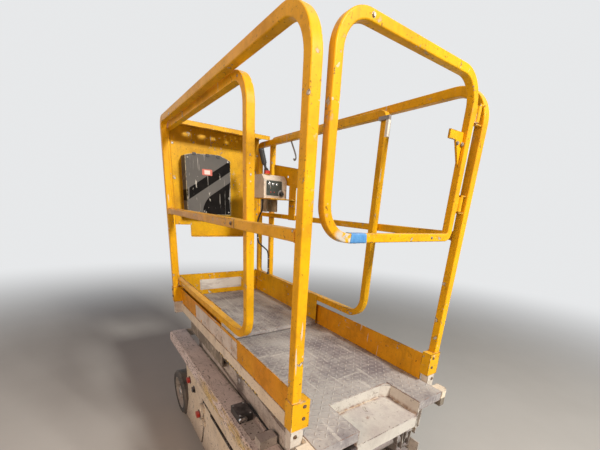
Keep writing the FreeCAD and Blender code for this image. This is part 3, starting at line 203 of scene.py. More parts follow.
def wornPaint(name, recipe, zones=None):
    paint = Paint(name, recipe["base"])
    cloud = paint.noise(2.6, 4.0, 0.6)
    paint.cover(cloud.above(0.5, 0.16), recipe["faded"])
    if zones:
        zones(paint)
    film = paint.noise(8.0, 6.0, 0.72).above(0.56, 0.15) * recipe["grimeShare"]
    drips = paint.noise(15.0, 5.0, 0.65, (3.0, 3.0, 0.3)).above(0.60, 0.10) * recipe["grimeShare"] * 0.6
    paint.cover(film.most(drips), recipe["grime"])
    dusty = paint.upward.above(0.55, 0.3) * paint.noise(5.0, 7.0, 0.72).above(0.47, 0.17) * recipe["dustShare"]
    paint.cover(dusty, wear["dust"])
    specks = paint.noise(150.0, 3.0, 0.6).above(0.645, 0.03) * paint.noise(9.0, 3.0).above(0.47, 0.12)
    spots = paint.noise(wear["spotScale"], 2.0, 0.5).above(0.70, 0.012) * paint.noise(7.0, 2.0).above(0.49, 0.08)
    paint.cover(specks.most(spots) * recipe["speckShare"], wear["darkRust"])
    patches = paint.noise(5.5, 3.0, 0.5).above(0.53, 0.07)
    chipField = paint.noise(wear["chipScale"], 6.0, 0.62)
    rim = chipField.above(0.622, 0.012) * patches * recipe["chipShare"]
    chip = chipField.above(0.646, 0.012) * patches * recipe["chipShare"]
    paint.cover(rim, wear["darkRust"])
    paint.cover(chip, wear["primer"])
    scratch = paint.noise(wear["scratchScale"], 2.0, 0.5, (0.1, 1.0, 1.0)).above(0.70, 0.012) * patches
    scrape = paint.noise(wear["scratchScale"], 2.0, 0.5, (1.0, 1.0, 0.08)).above(0.72, 0.012)
    paint.cover(scratch.most(scrape) * recipe["chipShare"] * 0.7, wear["primer"])
    edge = paint.edges(wear["edgeRadius"])
    worn = edge * paint.noise(26.0, 5.0, 0.65).above(0.465, 0.05) * recipe["edgeShare"]
    paint.cover(worn, wear["darkRust"])
    rubbed = edge * paint.noise(31.0, 4.0, 0.6).above(0.600, 0.03) * recipe["edgeShare"]
    paint.cover(rubbed, wear["primer"])
    rusty = paint.noise(13.0, 8.0, 0.72).above(0.665, 0.045) * recipe["rustShare"]
    paint.cover(rusty, wear["rust"])
    rough = recipe["rough"] + 0.14 * cloud + 0.28 * film.most(rusty).most(dusty)
    height = 0.5 - 0.4 * chip.most(worn) + 0.10 * paint.noise(170.0, 2.0) + 0.15 * paint.noise(7.0, 2.0)
    normal = paint.bump(height, 0.4, wear["bumpDepth"])
    return paint.finish(rough, normal, {"Specular IOR Level": recipe["shine"]})


# Rails and boards
railRecipe = {
    "base": rgb(0.78, 0.39, 0.003), "faded": rgb(0.82, 0.45, 0.005), "grime": rgb(0.26, 0.11, 0.012),
    "grimeShare": 0.40, "dustShare": 0.12, "speckShare": 0.6, "chipShare": 1.0, "edgeShare": 1.0,
    "rustShare": 0.24, "rough": 0.34, "shine": 0.20,
}
boardRecipe = dict(railRecipe, base=rgb(0.70, 0.29, 0.005), faded=rgb(0.76, 0.37, 0.010), grimeShare=0.5,
                   speckShare=0.5)
wallRecipe = dict(railRecipe, base=rgb(0.74, 0.42, 0.005), faded=rgb(0.70, 0.36, 0.005), grimeShare=0.45)

# Off-white frame pieces: purple-grey dirt, rust at chips
whiteRecipe = {
    "base": rgb(0.58, 0.545, 0.48), "faded": rgb(0.62, 0.59, 0.535), "grime": rgb(0.22, 0.18, 0.17),
    "grimeShare": 0.5, "dustShare": 0.6, "speckShare": 0.8, "chipShare": 0.75, "edgeShare": 0.95,
    "rustShare": 0.75, "rough": 0.48, "shine": 0.3,
}
coverRecipe = dict(whiteRecipe, base=rgb(0.80, 0.70, 0.67), faded=rgb(0.85, 0.76, 0.73), speckShare=1.0,
                   dustShare=0.25, grimeShare=0.3)
# Side panels and channels: off-white paint tinted warm, the warm tint being painted bounce light on faces that look
# sideways
creamAndBounceRecipe = dict(whiteRecipe, base=rgb(0.76, 0.66, 0.50), faded=rgb(0.80, 0.72, 0.59), speckShare=1.0,
                   dustShare=0.2, grimeShare=0.3, chipShare=0.95)
wellRecipe = dict(whiteRecipe, base=rgb(0.57, 0.545, 0.495), faded=rgb(0.61, 0.59, 0.54), dustShare=0.25,
                  grimeShare=0.25, speckShare=0.4)
armRecipe = dict(whiteRecipe, base=rgb(0.60, 0.57, 0.52), faded=rgb(0.64, 0.61, 0.57), grimeShare=0.8)
hubRecipe = dict(whiteRecipe, base=rgb(0.50, 0.47, 0.42), faded=rgb(0.54, 0.52, 0.48), grimeShare=0.9)
boxRecipe = dict(whiteRecipe, base=rgb(0.70, 0.61, 0.49), faded=rgb(0.76, 0.69, 0.59), grimeShare=0.3,
                 dustShare=0.1, rustShare=0.1, chipShare=0.4, edgeShare=0.5)


# Zones: what is painted or stuck on, given by place
zoneLook = {
    "stubTop": 0.887,
    "stub": rgb(0.66, 0.63, 0.57),
    "decal": rgb(0.70, 0.65, 0.59),
    "decalTop": 0.957,
    "decalBack": -0.285,
    "decalFront": 0.330,
    "tan": rgb(0.42, 0.22, 0.09),
    "greaseDark": rgb(0.035, 0.028, 0.024),
    "dashYellow": rgb(0.62, 0.43, 0.03),
    "dashBlack": rgb(0.03, 0.028, 0.026),
}


def railZones(paint):
    # White stubs under the sockets, and tan patches on the left mid rail's forward run
    paint.cover(paint.z.below(zoneLook["stubTop"], 0.0008), zoneLook["stub"])
    film = paint.zone(x=(-0.38, 0.66), z=(1.445, 1.49), soft=0.01) * paint.noise(9.0, 5.0, 0.7).above(0.40, 0.2)
    paint.cover(film * 0.55, zoneLook["tan"])
    # Dark line where the forward run slides out of the sleeve
    seam = paint.zone(x=(-0.3905, -0.3845), z=(1.445, 1.488), soft=0.0008)
    paint.cover(seam * 0.9, wear["darkRust"])


def boardZones(paint):
    # A blank sheet stuck on the left board's outer face, scuffed away along its edges
    ragged = 0.006 * (paint.noise(40.0, 4.0) - 0.5)
    sheet = paint.zone(x=(zoneLook["decalBack"], zoneLook["decalFront"]), y=(0.3205, 0.330), soft=0.0006)
    sheet = sheet * (paint.z + ragged).within(0.8735, zoneLook["decalTop"], 0.0008)
    torn = paint.noise(30.0, 5.0, 0.6).below(0.66, 0.01)
    paint.cover(sheet * torn, zoneLook["decal"])
    outline = sheet * (1.0 - paint.zone(x=(zoneLook["decalBack"] + 0.003, zoneLook["decalFront"] - 0.003),
                                        z=(0.8765, zoneLook["decalTop"] - 0.003), soft=0.0006))
    paint.cover(outline * 0.5, wear["bareSteel"])


def gateZones(paint):
    # White rub marks beside the tape on the lower bar
    marks = paint.zone(y=(0.200, 0.262), z=(1.44, 1.482), soft=0.008)
    paint.cover(marks * paint.noise(42.0, 4.0, 0.6).above(0.49, 0.05), wear["primer"])


def channelZones(paint):
    # Yellow and black dashes, half worn away, along the lower edge of the left channel
    strip = paint.zone(x=(-0.50, -0.06), y=(0.3235, 0.330), z=(0.8125, 0.8205), soft=0.0006)
    dash = (paint.x / 0.030).maths("FRACT").above(0.45, 0.04)
    kept = paint.noise(24.0, 4.0, 0.6).above(0.44, 0.05)
    paint.cover(strip * kept, zoneLook["dashYellow"])
    paint.cover(strip * dash * kept, zoneLook["dashBlack"])
    grease = paint.z.below(0.8125, 0.003) * paint.noise(12.0, 5.0, 0.7).above(0.38, 0.2)
    paint.cover(grease * 0.8, zoneLook["greaseDark"])


def wellZones(paint):
    # Rust bleeding from the corners of the well: nearness to its front, side and floor planes
    front = (paint.x + 0.722).size().below(0.010, 0.010)
    left = (paint.y - 0.148).size().below(0.008, 0.008)
    right = (paint.y + 0.172).size().below(0.012, 0.012)
    low = (paint.z - 0.790).size().below(0.010, 0.010)
    corner = front.most(left).most(right) * low
    upright = front * left.most(right)
    spread = paint.noise(30.0, 6.0, 0.7).above(0.47, 0.10)
    paint.cover(corner.most(upright) * spread * 0.85, wear["rust"])
    scuffs = paint.zone(z=(0.784, 0.793)) * paint.noise(11.0, 6.0, 0.7).above(0.52, 0.12)
    paint.cover(scuffs * 0.5, wear["dust"])


def armZones(paint):
    # Old grease thrown out around the three rows of pins
    spread = paint.noise(22.0, 5.0, 0.7)
    near = (paint.x + 0.80).size().least((paint.x + 0.137).size()).least((paint.x - 0.525).size())
    grease = (near + 0.12 * (spread - 0.5)).below(0.045, 0.022)
    paint.cover(grease * 0.75, zoneLook["greaseDark"])


def coverZones(paint):
    # The top is darker towards its inner edge, under the stack
    inner = paint.y.size().below(0.278, 0.016) * paint.noise(10.0, 6.0, 0.7).above(0.36, 0.2)
    paint.cover(inner * 0.25, zoneLook["greaseDark"])
    lip = paint.y.size().above(0.368, 0.006) * paint.z.within(0.525, 0.598, 0.004)
    rubbed = paint.noise(30.0, 5.0, 0.65, (0.25, 1.0, 1.0)).above(0.47, 0.08) * paint.x.below(0.10, 0.12)
    paint.cover(lip * rubbed * 0.7, zoneLook["dashYellow"])
    # The fold is eaten by many small chips, and short dark scratches lie along the top
    fold = paint.y.size().above(0.350, 0.014) * paint.noise(95.0, 4.0, 0.65).above(0.575, 0.03) * 0.85
    strokes = paint.noise(75.0, 3.0, 0.55, (0.22, 1.0, 1.0)).above(0.625, 0.03)
    strokes = strokes * paint.noise(6.0, 2.0).above(0.46, 0.1)
    paint.cover(fold.most(strokes * 0.7), wear["darkRust"])


def panelZones(paint):
    # Mud thrown up from the floor
    mud = paint.noise(9.0, 6.0, 0.7)
    paint.cover((paint.z + 0.16 * (mud - 0.5)).below(0.17, 0.07) * 0.6, rgb(0.25, 0.20, 0.16))
    # Painted shade: a near-black band along the rear half of the door's top edge stands in for the shadowed gap of a
    # hand slot
    ragged = 0.004 * (paint.noise(55.0, 3.0) - 0.5)
    paintedSlotShade = paint.zone(x=(-0.47, 0.020), soft=0.004) * (paint.z + ragged).within(0.386, 0.42, 0.0012)
    paint.cover(paintedSlotShade * paint.y.size().above(0.350, 0.002), rgb(0.016, 0.013, 0.011))


# Tread plate: lozenges turned one way and the other in alternate cells
treadLook = {
    "pitch": 0.0245,
    "long": 0.44,
    "short": 0.12,
    "plate": rgb(0.44, 0.42, 0.405),
    "raised": rgb(0.56, 0.54, 0.50),
    # Dirt colour, darker and purpler than dirt alone, so that it also serves as painted shade on the deck
    "dirtAndShade": rgb(0.150, 0.130, 0.145),
    "depth": 0.0018,
}


def treadHeight(paint, pitch):
    # In cell units, an oval (a / long)^2 + (b / short)^2 < 1 with a and b swapped in every other cell
    across, along = paint.x / pitch, paint.y / pitch
    column, line = across.maths("FLOOR"), along.maths("FLOOR")
    across, along = across - column - 0.5, along - line - 0.5
    first, second = (across + along) * 0.7071, (across - along) * 0.7071
    odd = (column + line).maths("PINGPONG", 1.0)
    a = first + (second - first) * odd
    b = second + (first - second) * odd
    oval = (a / treadLook["long"]) ** 2.0 + (b / treadLook["short"]) ** 2.0
    return oval.below(0.75, 0.45)


def treadPlate(name, dirtAndShadeShare, smoothFrom=None):
    paint = Paint(name, treadLook["plate"])
    flat = paint.upward.above(0.8, 0.1)
    raised = treadHeight(paint, treadLook["pitch"]) * flat
    if smoothFrom is not None:
        raised = raised * paint.x.above(smoothFrom, 0.001)
    cloud = paint.noise(3.4, 7.0, 0.68)
    grain = paint.noise(60.0, 5.0, 0.7)
    paint.cover(raised * 0.6, treadLook["raised"])
    # Purple-grey clouds: partly real dirt, partly painted shade standing in for shadows on the deck
    dirtAndShade = (cloud + 0.25 * (grain - 0.5)).above(0.52, 0.14) * (1.0 - 0.55 * raised) * dirtAndShadeShare
    paint.cover(dirtAndShade, treadLook["dirtAndShade"])
    scuff = paint.noise(34.0, 3.0, 0.6, (0.12, 1.0, 1.0)).above(0.64, 0.03)
    swipe = paint.noise(26.0, 3.0, 0.6, (1.0, 0.14, 1.0)).above(0.67, 0.03)
    paint.cover(scuff.most(swipe) * 0.32, rgb(0.74, 0.72, 0.67))
    specks = paint.noise(120.0, 3.0, 0.6).above(0.66, 0.03) * 0.7
    paint.cover(specks, wear["darkRust"])
    rusty = paint.noise(17.0, 7.0, 0.7).above(0.70, 0.04) * 0.6
    paint.cover(rusty, wear["rust"])
    edge = paint.edges(wear["edgeRadius"]) * paint.noise(24.0, 5.0, 0.65).above(0.50, 0.06) * 0.8
    paint.cover(edge, wear["rust"])
    rough = 0.52 + 0.25 * cloud - 0.10 * raised
    normal = paint.bump(raised + 0.08 * grain, 0.8, treadLook["depth"])
    return paint.finish(rough, normal)


# Rubber: dusty tread, ridged side wall, scuffs; the wheel's own centre gives the rings
tyreLook = {
    "rubber": rgb(0.030, 0.030, 0.029),
    "dust": rgb(0.17, 0.145, 0.12),
    "ringPitch": 0.0075,
    "axleHigh": 0.165,
}


def tyreRubber(name, axleX):
    paint = Paint(name, tyreLook["rubber"])
    radius = paint.reach((axleX, 0.0, tyreLook["axleHigh"]), 1)
    grain = paint.noise(70.0, 5.0, 0.65)
    cloud = paint.noise(12.0, 6.0, 0.7)
    dusty = (0.75 * radius.above(0.150, 0.012) + 0.25) * cloud.above(0.42, 0.16)
    paint.cover(dusty * 0.8, tyreLook["dust"])
    scuffs = paint.noise(40.0, 4.0, 0.6, (0.3, 1.0, 1.0)).above(0.66, 0.03) * 0.6
    paint.cover(scuffs, rgb(0.26, 0.24, 0.21))
    ring = (radius / tyreLook["ringPitch"] * 6.2832).maths("SINE") * radius.within(0.124, 0.152, 0.004)
    normal = paint.bump(0.5 + 0.2 * ring + 0.25 * grain, 0.5, 0.0012)
    return paint.finish(0.72 + 0.2 * (grain - 0.5), normal)


def plainFinish(name, base, second, rough, metallic=0.0, grain=40.0, zones=None):
    paint = Paint(name, base)
    cloud = paint.noise(grain, 5.0, 0.6)
    paint.cover(cloud.above(0.5, 0.25), second)
    if zones:
        zones(paint)
    dusty = paint.upward.above(0.5, 0.3) * paint.noise(14.0, 5.0, 0.7).above(0.5, 0.15) * 0.35
    paint.cover(dusty, wear["dust"])
    normal = paint.bump(cloud, 0.25, 0.0004)
    return paint.finish(rough + 0.2 * (cloud - 0.5), normal, {"Metallic": metallic})


# Box on the front wall: grey with a black slanting band and a black rounded corner field
frontBoxLook = {
    "grey": rgb(0.110, 0.108, 0.104),
    "faded": rgb(0.128, 0.125, 0.119),
    "black": rgb(0.007, 0.0065, 0.006),
    "bandMiddle": 1.652,
    "bandMiddleY": 0.110,
    "bandSlope": 0.686,
    "bandHalf": 0.033,
    "fieldDrop": 0.098,
    "fieldEdge": 0.142,
    "cornerRadius": 0.060,
}


def frontBoxFinish():
    paint = Paint("frontBoxPaint", frontBoxLook["grey"])
    cloud = paint.noise(6.0, 5.0, 0.65)
    paint.cover(cloud.above(0.5, 0.2), frontBoxLook["faded"])
    line = (paint.y - frontBoxLook["bandMiddleY"]) * frontBoxLook["bandSlope"] + paint.z - frontBoxLook["bandMiddle"]
    band = line.size().below(frontBoxLook["bandHalf"], 0.001)
    # Black field: under a line parallel to the band and in from the left, its corner cut to a radius
    under = line + frontBoxLook["fieldDrop"]
    deep = under + frontBoxLook["cornerRadius"]
    middle = frontBoxLook["fieldEdge"] - frontBoxLook["cornerRadius"]
    apart = ((paint.y - middle) ** 2.0 + deep ** 2.0) ** 0.5
    cut = paint.y.above(middle, 0.001) * deep.above(0.0, 0.001) * apart.above(frontBoxLook["cornerRadius"], 0.001)
    field = under.below(0.0, 0.0012) * paint.y.below(frontBoxLook["fieldEdge"], 0.001) * (1.0 - cut)
    paint.cover(band.most(field), frontBoxLook["black"])
    drops = paint.noise(46.0, 4.0, 0.6, (1.0, 1.0, 0.28)).above(0.655, 0.012)
    paint.cover(drops * 0.8, rgb(0.55, 0.53, 0.48))
    scratch = paint.noise(80.0, 3.0, 0.5, (1.0, 1.0, 0.06)).above(0.665, 0.015) * 0.6
    paint.cover(scratch, rgb(0.42, 0.40, 0.37))
    edge = paint.edges(0.008) * paint.noise(40.0, 5.0, 0.65).above(0.46, 0.05)
    paint.cover(edge * 0.9, rgb(0.62, 0.56, 0.36))
    dusty = paint.noise(9.0, 6.0, 0.7).above(0.57, 0.12) * 0.015
    paint.cover(dusty, wear["dust"])
    normal = paint.bump(cloud + 0.3 * drops, 0.3, 0.0006)
    return paint.finish(0.55 + 0.25 * cloud, normal, {"Specular IOR Level": 0.05})


def knobZones(paint):
    # The switch between the two red knobs is black
    paint.cover(paint.zone(x=(0.304, 0.348)), rgb(0.016, 0.016, 0.016))


def leverZones(paint):
    # White sleeve on the hanging grip
    paint.cover(paint.zone(x=(-0.44, -0.419)) * paint.z.below(1.899, 0.002), rgb(0.68, 0.64, 0.56))


def bracketZones(paint):
    # Bare metal cup under the seat of the control box: a brass tone in vertical light and dark streaks, the light
    # streaks being painted highlight
    cup = paint.zone(x=(0.37, 0.47), y=(-0.25, -0.15), z=(1.480, 1.5675))
    highlightStreak = paint.noise(40.0, 4.0, 0.6, (1.0, 1.0, 0.2)).above(0.5, 0.1)
    brassAndHighlight = paint.mix(highlightStreak, rgb(0.62, 0.57, 0.44), rgb(0.30, 0.25, 0.17))
    paint.cover(cup, brassAndHighlight)


def signZones(paint):
    # Grey smears over a blank sheet
    smear = paint.noise(24.0, 5.0, 0.7, (1.0, 0.3, 1.0)).above(0.52, 0.08)
    paint.cover(smear * 0.6, rgb(0.34, 0.29, 0.27))


def tagZones(paint):
    # Blank tag: pale middle in a faded red border
    middle = paint.zone(y=(0.088, 0.124), z=(1.6955, 1.7195), soft=0.0008)
    paint.cover(middle, rgb(0.66, 0.62, 0.58))


look = {
    "yellow": wornPaint("railYellow", railRecipe, railZones),
    "plainYellow": wornPaint("plainYellow", railRecipe),
    "gateYellow": wornPaint("gateYellow", railRecipe, gateZones),
    "board": wornPaint("boardYellow", boardRecipe, boardZones),
    "wall": wornPaint("wallYellow", wallRecipe),
    "bracketYellow": wornPaint("bracketYellow", railRecipe, bracketZones),
    "white": wornPaint("frameWhite", whiteRecipe),
    "cover": wornPaint("coverWhite", coverRecipe, coverZones),
    "creamAndBounce": wornPaint("panelCreamAndBounce", creamAndBounceRecipe, panelZones),
    "channel": wornPaint("channelWhite", dict(creamAndBounceRecipe, speckShare=0.5, chipShare=0.5), channelZones),
    "well": wornPaint("wellWhite", wellRecipe, wellZones),
    "arm": wornPaint("armWhite", armRecipe, armZones),
    "hub": wornPaint("hubPaint", hubRecipe),
    "controlBox": wornPaint("controlBoxPaint", boxRecipe),
    # The deck plates' dirt shares also set how much painted shade they carry
    "tread": treadPlate("treadPlate", 0.88, -0.862),
    "treadDark": treadPlate("treadPlateDark", 0.95),
    "frontTyre": tyreRubber("frontTyreRubber", 0.69),
    "rearTyre": tyreRubber("rearTyreRubber", -0.69),
    "frontBox": frontBoxFinish(),
    "steel": plainFinish("bareSteel", rgb(0.50, 0.49, 0.47), rgb(0.36, 0.34, 0.32), 0.38, 1.0),
    "chrome": plainFinish("chrome", rgb(0.72, 0.72, 0.72), rgb(0.62, 0.61, 0.60), 0.16, 1.0, 90.0),
    "bolt": plainFinish("zincBolt", rgb(0.46, 0.43, 0.38), rgb(0.26, 0.20, 0.15), 0.45, 0.8, 120.0),
    "darkBolt": plainFinish("rustyBolt", rgb(0.22, 0.15, 0.09), rgb(0.10, 0.06, 0.035), 0.55, 0.4, 120.0),
    "black": plainFinish("blackPlastic", rgb(0.015, 0.015, 0.015), rgb(0.034, 0.033, 0.031), 0.42),
    "red": plainFinish("redPlastic", rgb(0.46, 0.016, 0.010), rgb(0.54, 0.035, 0.018), 0.30),
    "knob": plainFinish("knobPlastic", rgb(0.42, 0.018, 0.010), rgb(0.50, 0.035, 0.018), 0.34, zones=knobZones),
    "lever": plainFinish("leverSteel", rgb(0.30, 0.29, 0.28), rgb(0.20, 0.17, 0.15), 0.45, 0.3, zones=leverZones),
    "grey": plainFinish("greyMetal", rgb(0.30, 0.30, 0.30), rgb(0.22, 0.21, 0.20), 0.45, 0.5),
    "tape": plainFinish("blueTape", rgb(0.06, 0.22, 0.52), rgb(0.10, 0.31, 0.60), 0.42, grain=70.0),
    "sign": plainFinish("blankSign", rgb(0.62, 0.59, 0.55), rgb(0.67, 0.65, 0.61), 0.40, zones=signZones),
    "tag": plainFinish("blankTag", rgb(0.52, 0.10, 0.07), rgb(0.58, 0.15, 0.11), 0.42, zones=tagZones),
    "panel": plainFinish("panelFilm", rgb(0.030, 0.040, 0.032), rgb(0.055, 0.062, 0.050), 0.35, grain=90.0),
    "pale": plainFinish("paleNylon", rgb(0.66, 0.64, 0.60), rgb(0.58, 0.55, 0.50), 0.45),
    "weld": plainFinish("weldBead", rgb(0.62, 0.56, 0.46), rgb(0.34, 0.22, 0.13), 0.55, grain=60.0),
    "railWeld": plainFinish("railWeldBead", rgb(0.74, 0.35, 0.010), rgb(0.50, 0.22, 0.012), 0.45, grain=60.0),
}

# Which look each node takes: first match on the start of its name
nodeLooks = (
    ("tyre_front", "frontTyre"), ("tyre_rear", "rearTyre"), ("hub_", "hub"), ("rails_main", "yellow"),
    ("rails_", "plainYellow"), ("gate_hinges", "plainYellow"), ("gate", "gateYellow"), ("toe_boards_main", "board"),
    ("toe_", "wall"), ("front_panel", "wall"), ("front_box", "frontBox"), ("deck_main", "tread"),
    ("deck_extension", "treadDark"), ("deck_channels", "channel"), ("entry_well", "well"), ("covers", "cover"),
    ("side_panels", "creamAndBounce"), ("door_", "creamAndBounce"), ("arm_", "arm"), ("battery", "black"), ("pump", "grey"),
    ("limit", "black"), ("joystick", "black"), ("stop_button", "red"), ("control_cable", "black"),
    ("ram_barrel", "black"), ("ram_rod", "chrome"), ("control_box", "controlBox"),
    ("control_bracket", "bracketYellow"), ("lock", "lever"), ("ground", "knob"), ("", "white"),
)
for name, node in nodes.items():
    chosen = next(key for start, key in nodeLooks if name.startswith(start))
    node.data.materials.clear()
    node.data.materials.append(look[chosen])
print("stage: materials assigned")


# Mesh tools: a shape is rings of points worked out as whole arrays, joined by quads and closed by fans
def ringShell(rings, capped=True, loop=False):
    rings = np.asarray(rings, float)
    count, sides = rings.shape[:2]
    points = rings.reshape(-1, 3)
    last = count if loop else count - 1
    along, around = np.meshgrid(np.arange(last), np.arange(sides), indexing="ij")
    here, ahead = along * sides, (along + 1) % count * sides
    after = (around + 1) % sides
    faces = np.stack([here + around, here + after, ahead + after, ahead + around], -1).reshape(-1, 4).tolist()
    step = np.arange(sides)
    for start in (0, (count - 1) * sides) if capped and not loop else ():
        middle = len(points)
        points = np.vstack([points, points[start:start + sides].mean(0)])
        faces += np.stack([start + step, start + (step + 1) % sides, np.full(sides, middle)], -1).tolist()
    return points, faces


def crossAxes(axis):
    axis = np.asarray(axis, float) / np.linalg.norm(axis)
    guide = np.array([0.0, 0.0, 1.0]) if abs(axis[2]) < 0.9 else np.array([1.0, 0.0, 0.0])
    first = np.cross(axis, guide)
    first /= np.linalg.norm(first)
    return axis, first, np.cross(axis, first)


def turned(profile, centre, axis, sides=20):
    # Rows of radius, height and hexagon share: at angle a a hexagon's radius is r cos 30 / cos(a mod 60 - 30)
    axis, first, second = crossAxes(axis)
    rows = np.array([tuple(row) + (0.0,) * (3 - len(row)) for row in profile])
    angles = np.arange(sides) / sides * 2 * np.pi
    hexagon = np.cos(np.pi / 6) / np.cos(np.mod(angles, np.pi / 3) - np.pi / 6)
    radius = rows[:, :1] * (1 + rows[:, 2:3] * (hexagon - 1))
    ring = np.cos(angles)[:, None] * first + np.sin(angles)[:, None] * second
    points = np.asarray(centre) + radius[:, :, None] * ring + rows[:, 1, None, None] * axis
    return ringShell(points, capped=False)


def roundedOutline(width, height, radius, perCorner=5):
    # A quarter arc at each corner, joined by straight sides
    quarter = (np.arange(perCorner) / (perCorner - 1)) * np.pi / 2
    angles = (quarter[None, :] + np.arange(4)[:, None] * np.pi / 2).ravel()
    signs = np.repeat(np.array([[1, 1], [-1, 1], [-1, -1], [1, -1]]), perCorner, 0)
    inner = np.array([width / 2 - radius, height / 2 - radius])
    return signs * inner + radius * np.stack([np.cos(angles), np.sin(angles)], -1)


def slab(centre, across, up, size, radius, thick, bevel):
    # A rounded rectangle carried outward, its edges drawn in by the bevel
    across, up = np.asarray(across, float), np.asarray(up, float)
    outward = np.cross(across, up)
    rings = []
    for inset, height in ((bevel, 0.0), (0.0, bevel), (0.0, thick - bevel), (bevel, thick)):
        outline = roundedOutline(size[0] - 2 * inset, size[1] - 2 * inset, radius - inset)
        rings.append(np.asarray(centre) + outline[:, :1] * across + outline[:, 1:] * up + height * outward)
    return ringShell(np.array(rings))


def smoothPath(points, count, closed=False):
    # Through each point: a cubic whose slope there is half the step between its neighbours
    points = np.asarray(points, float)
    padded = np.vstack([points[-1:], points, points[:2]]) if closed else np.vstack(
        [2 * points[0] - points[1], points, 2 * points[-1] - points[-2]])
    spans = len(padded) - 3
    t = np.linspace(0, spans, count, endpoint=not closed)
    k = np.minimum(t.astype(int), spans - 1)
    f = (t - k)[:, None]
    a, b, c, d = padded[k], padded[k + 1], padded[k + 2], padded[k + 3]
    return 0.5 * (2 * b + (c - a) * f + (2 * a - 5 * b + 4 * c - d) * f ** 2 + (3 * b - a - 3 * c + d) * f ** 3)


def tube(path, radius, sides=10, closed=False, guide=(0.31, 0.22, 0.93)):
    # A circle carried along a path: tangent t, first = t x guide, second = t x first
    path = np.asarray(path, float)
    tangent = np.roll(path, -1, 0) - np.roll(path, 1, 0) if closed else np.gradient(path, axis=0)
    tangent /= np.linalg.norm(tangent, axis=1, keepdims=True)
    first = np.cross(tangent, guide)
    first /= np.linalg.norm(first, axis=1, keepdims=True)
    second = np.cross(tangent, first)
    angles = np.arange(sides) / sides * 2 * np.pi
    radius = np.broadcast_to(np.asarray(radius, float), (len(path),))
    spokes = np.cos(angles)[:, None, None] * first + np.sin(angles)[:, None, None] * second
    rings = path + radius[:, None] * spokes
    return ringShell(np.swapaxes(rings, 0, 1), loop=closed)


beadLook = {"pitch": 0.006, "ripple": 0.16, "sides": 7}
plain = 1.0  # pitch in metres of a ring too short to show its ripple


def runAlong(path):
    return np.concatenate([[0.0], np.cumsum(np.linalg.norm(np.diff(path, axis=0), axis=1))])


def beadRadius(run, width, pitch):
    # Width times 1 plus a share of the sine of the length run so far
    return width * (1 + beadLook["ripple"] * np.sin(run / pitch * 2 * np.pi))


def straightBead(start, end, width=0.0028):
    pitch = beadLook["pitch"]
    count = max(6, int(np.linalg.norm(np.subtract(end, start)) / pitch * 4))
    path = np.linspace(start, end, count)
    return tube(path, beadRadius(runAlong(path), width, pitch), beadLook["sides"])


def ringBead(centre, across, up, size, radius, width=0.0022, pitch=beadLook["pitch"]):
    # A bead round a rounded rectangle, its points at even steps of the outline's length
    outline = roundedOutline(size[0], size[1], radius, 4)
    corners = np.asarray(centre) + outline[:, :1] * np.asarray(across, float) + outline[:, 1:] * np.asarray(up, float)
    around = np.vstack([corners, corners[:1]])
    lengths = runAlong(around)
    even = np.linspace(0, lengths[-1], max(72, int(lengths[-1] / pitch * 4)), endpoint=False)
    path = np.stack([np.interp(even, lengths, around[:, k]) for k in range(3)], -1)
    return tube(path, beadRadius(even, width, pitch), beadLook["sides"], closed=True)


def hexBolt(place, facing, across, tall=None):
    # Washer, chamfered hexagon head and the end of its thread
    r, h = across / 2, tall or across * 0.42
    profile = [(0.0, 0.0), (1.45 * r, 0.0), (1.45 * r, 0.10 * h), (1.40 * r, 0.16 * h), (1.12 * r, 0.16 * h, 1.0),
               (1.15 * r, 0.22 * h, 1.0), (1.15 * r, 0.86 * h, 1.0), (0.98 * r, h, 0.35), (0.0, h)]
    return turned(profile, place, facing, 24)


def domeHead(place, facing, radius, tall):
    # Flat rim, then a quarter of an ellipse
    arc = np.linspace(0, np.pi / 2, 6)
    profile = [(0.0, 0.0), (radius, 0.0)] + [(radius * np.cos(a), 0.15 * tall + 0.85 * tall * np.sin(a)) for a in arc]
    return turned(profile, place, facing, 18)


def mergeShells(shells):
    points, faces, start = [], [], 0
    for shellPoints, shellFaces in shells:
        points.append(np.asarray(shellPoints))
        faces += [[corner + start for corner in face] for face in shellFaces]
        start += len(shellPoints)
    return np.vstack(points), faces


def addPiece(name, shells, lookName, body, sharp=38.0):
    points, faces = mergeShells(shells)
    mesh = bpy.data.meshes.new(name)
    mesh.from_pydata(points.tolist(), [], faces)
    work = bmesh.new()
    work.from_mesh(mesh)
    bmesh.ops.remove_doubles(work, verts=work.verts, dist=1e-6)
    bmesh.ops.dissolve_degenerate(work, edges=work.edges, dist=1e-7)
    bmesh.ops.recalc_face_normals(work, faces=work.faces)
    work.to_mesh(mesh)
    work.free()
    mesh.polygons.foreach_set("use_smooth", np.ones(len(mesh.polygons), bool))
    mesh.set_sharp_from_angle(angle=math.radians(sharp))
    mesh.materials.append(look[lookName])
    piece = bpy.data.objects.new(name, mesh)
    bpy.context.scene.collection.objects.link(piece)
    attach(piece, body)


sides = (1, -1)
left, right, up, ahead, rear = (0, 1, 0), (0, -1, 0), (0, 0, 1), (1, 0, 0), (-1, 0, 0)


def heads(maker, size, facing, along, across, high, both=True):
    # A head at every place, each with its mirror image on the right side when both is set
    return [maker((x, s * y, z), (facing[0], s * facing[1], facing[2]), *size)
            for s in (sides if both else (1,)) for x in along for y in across for z in high]


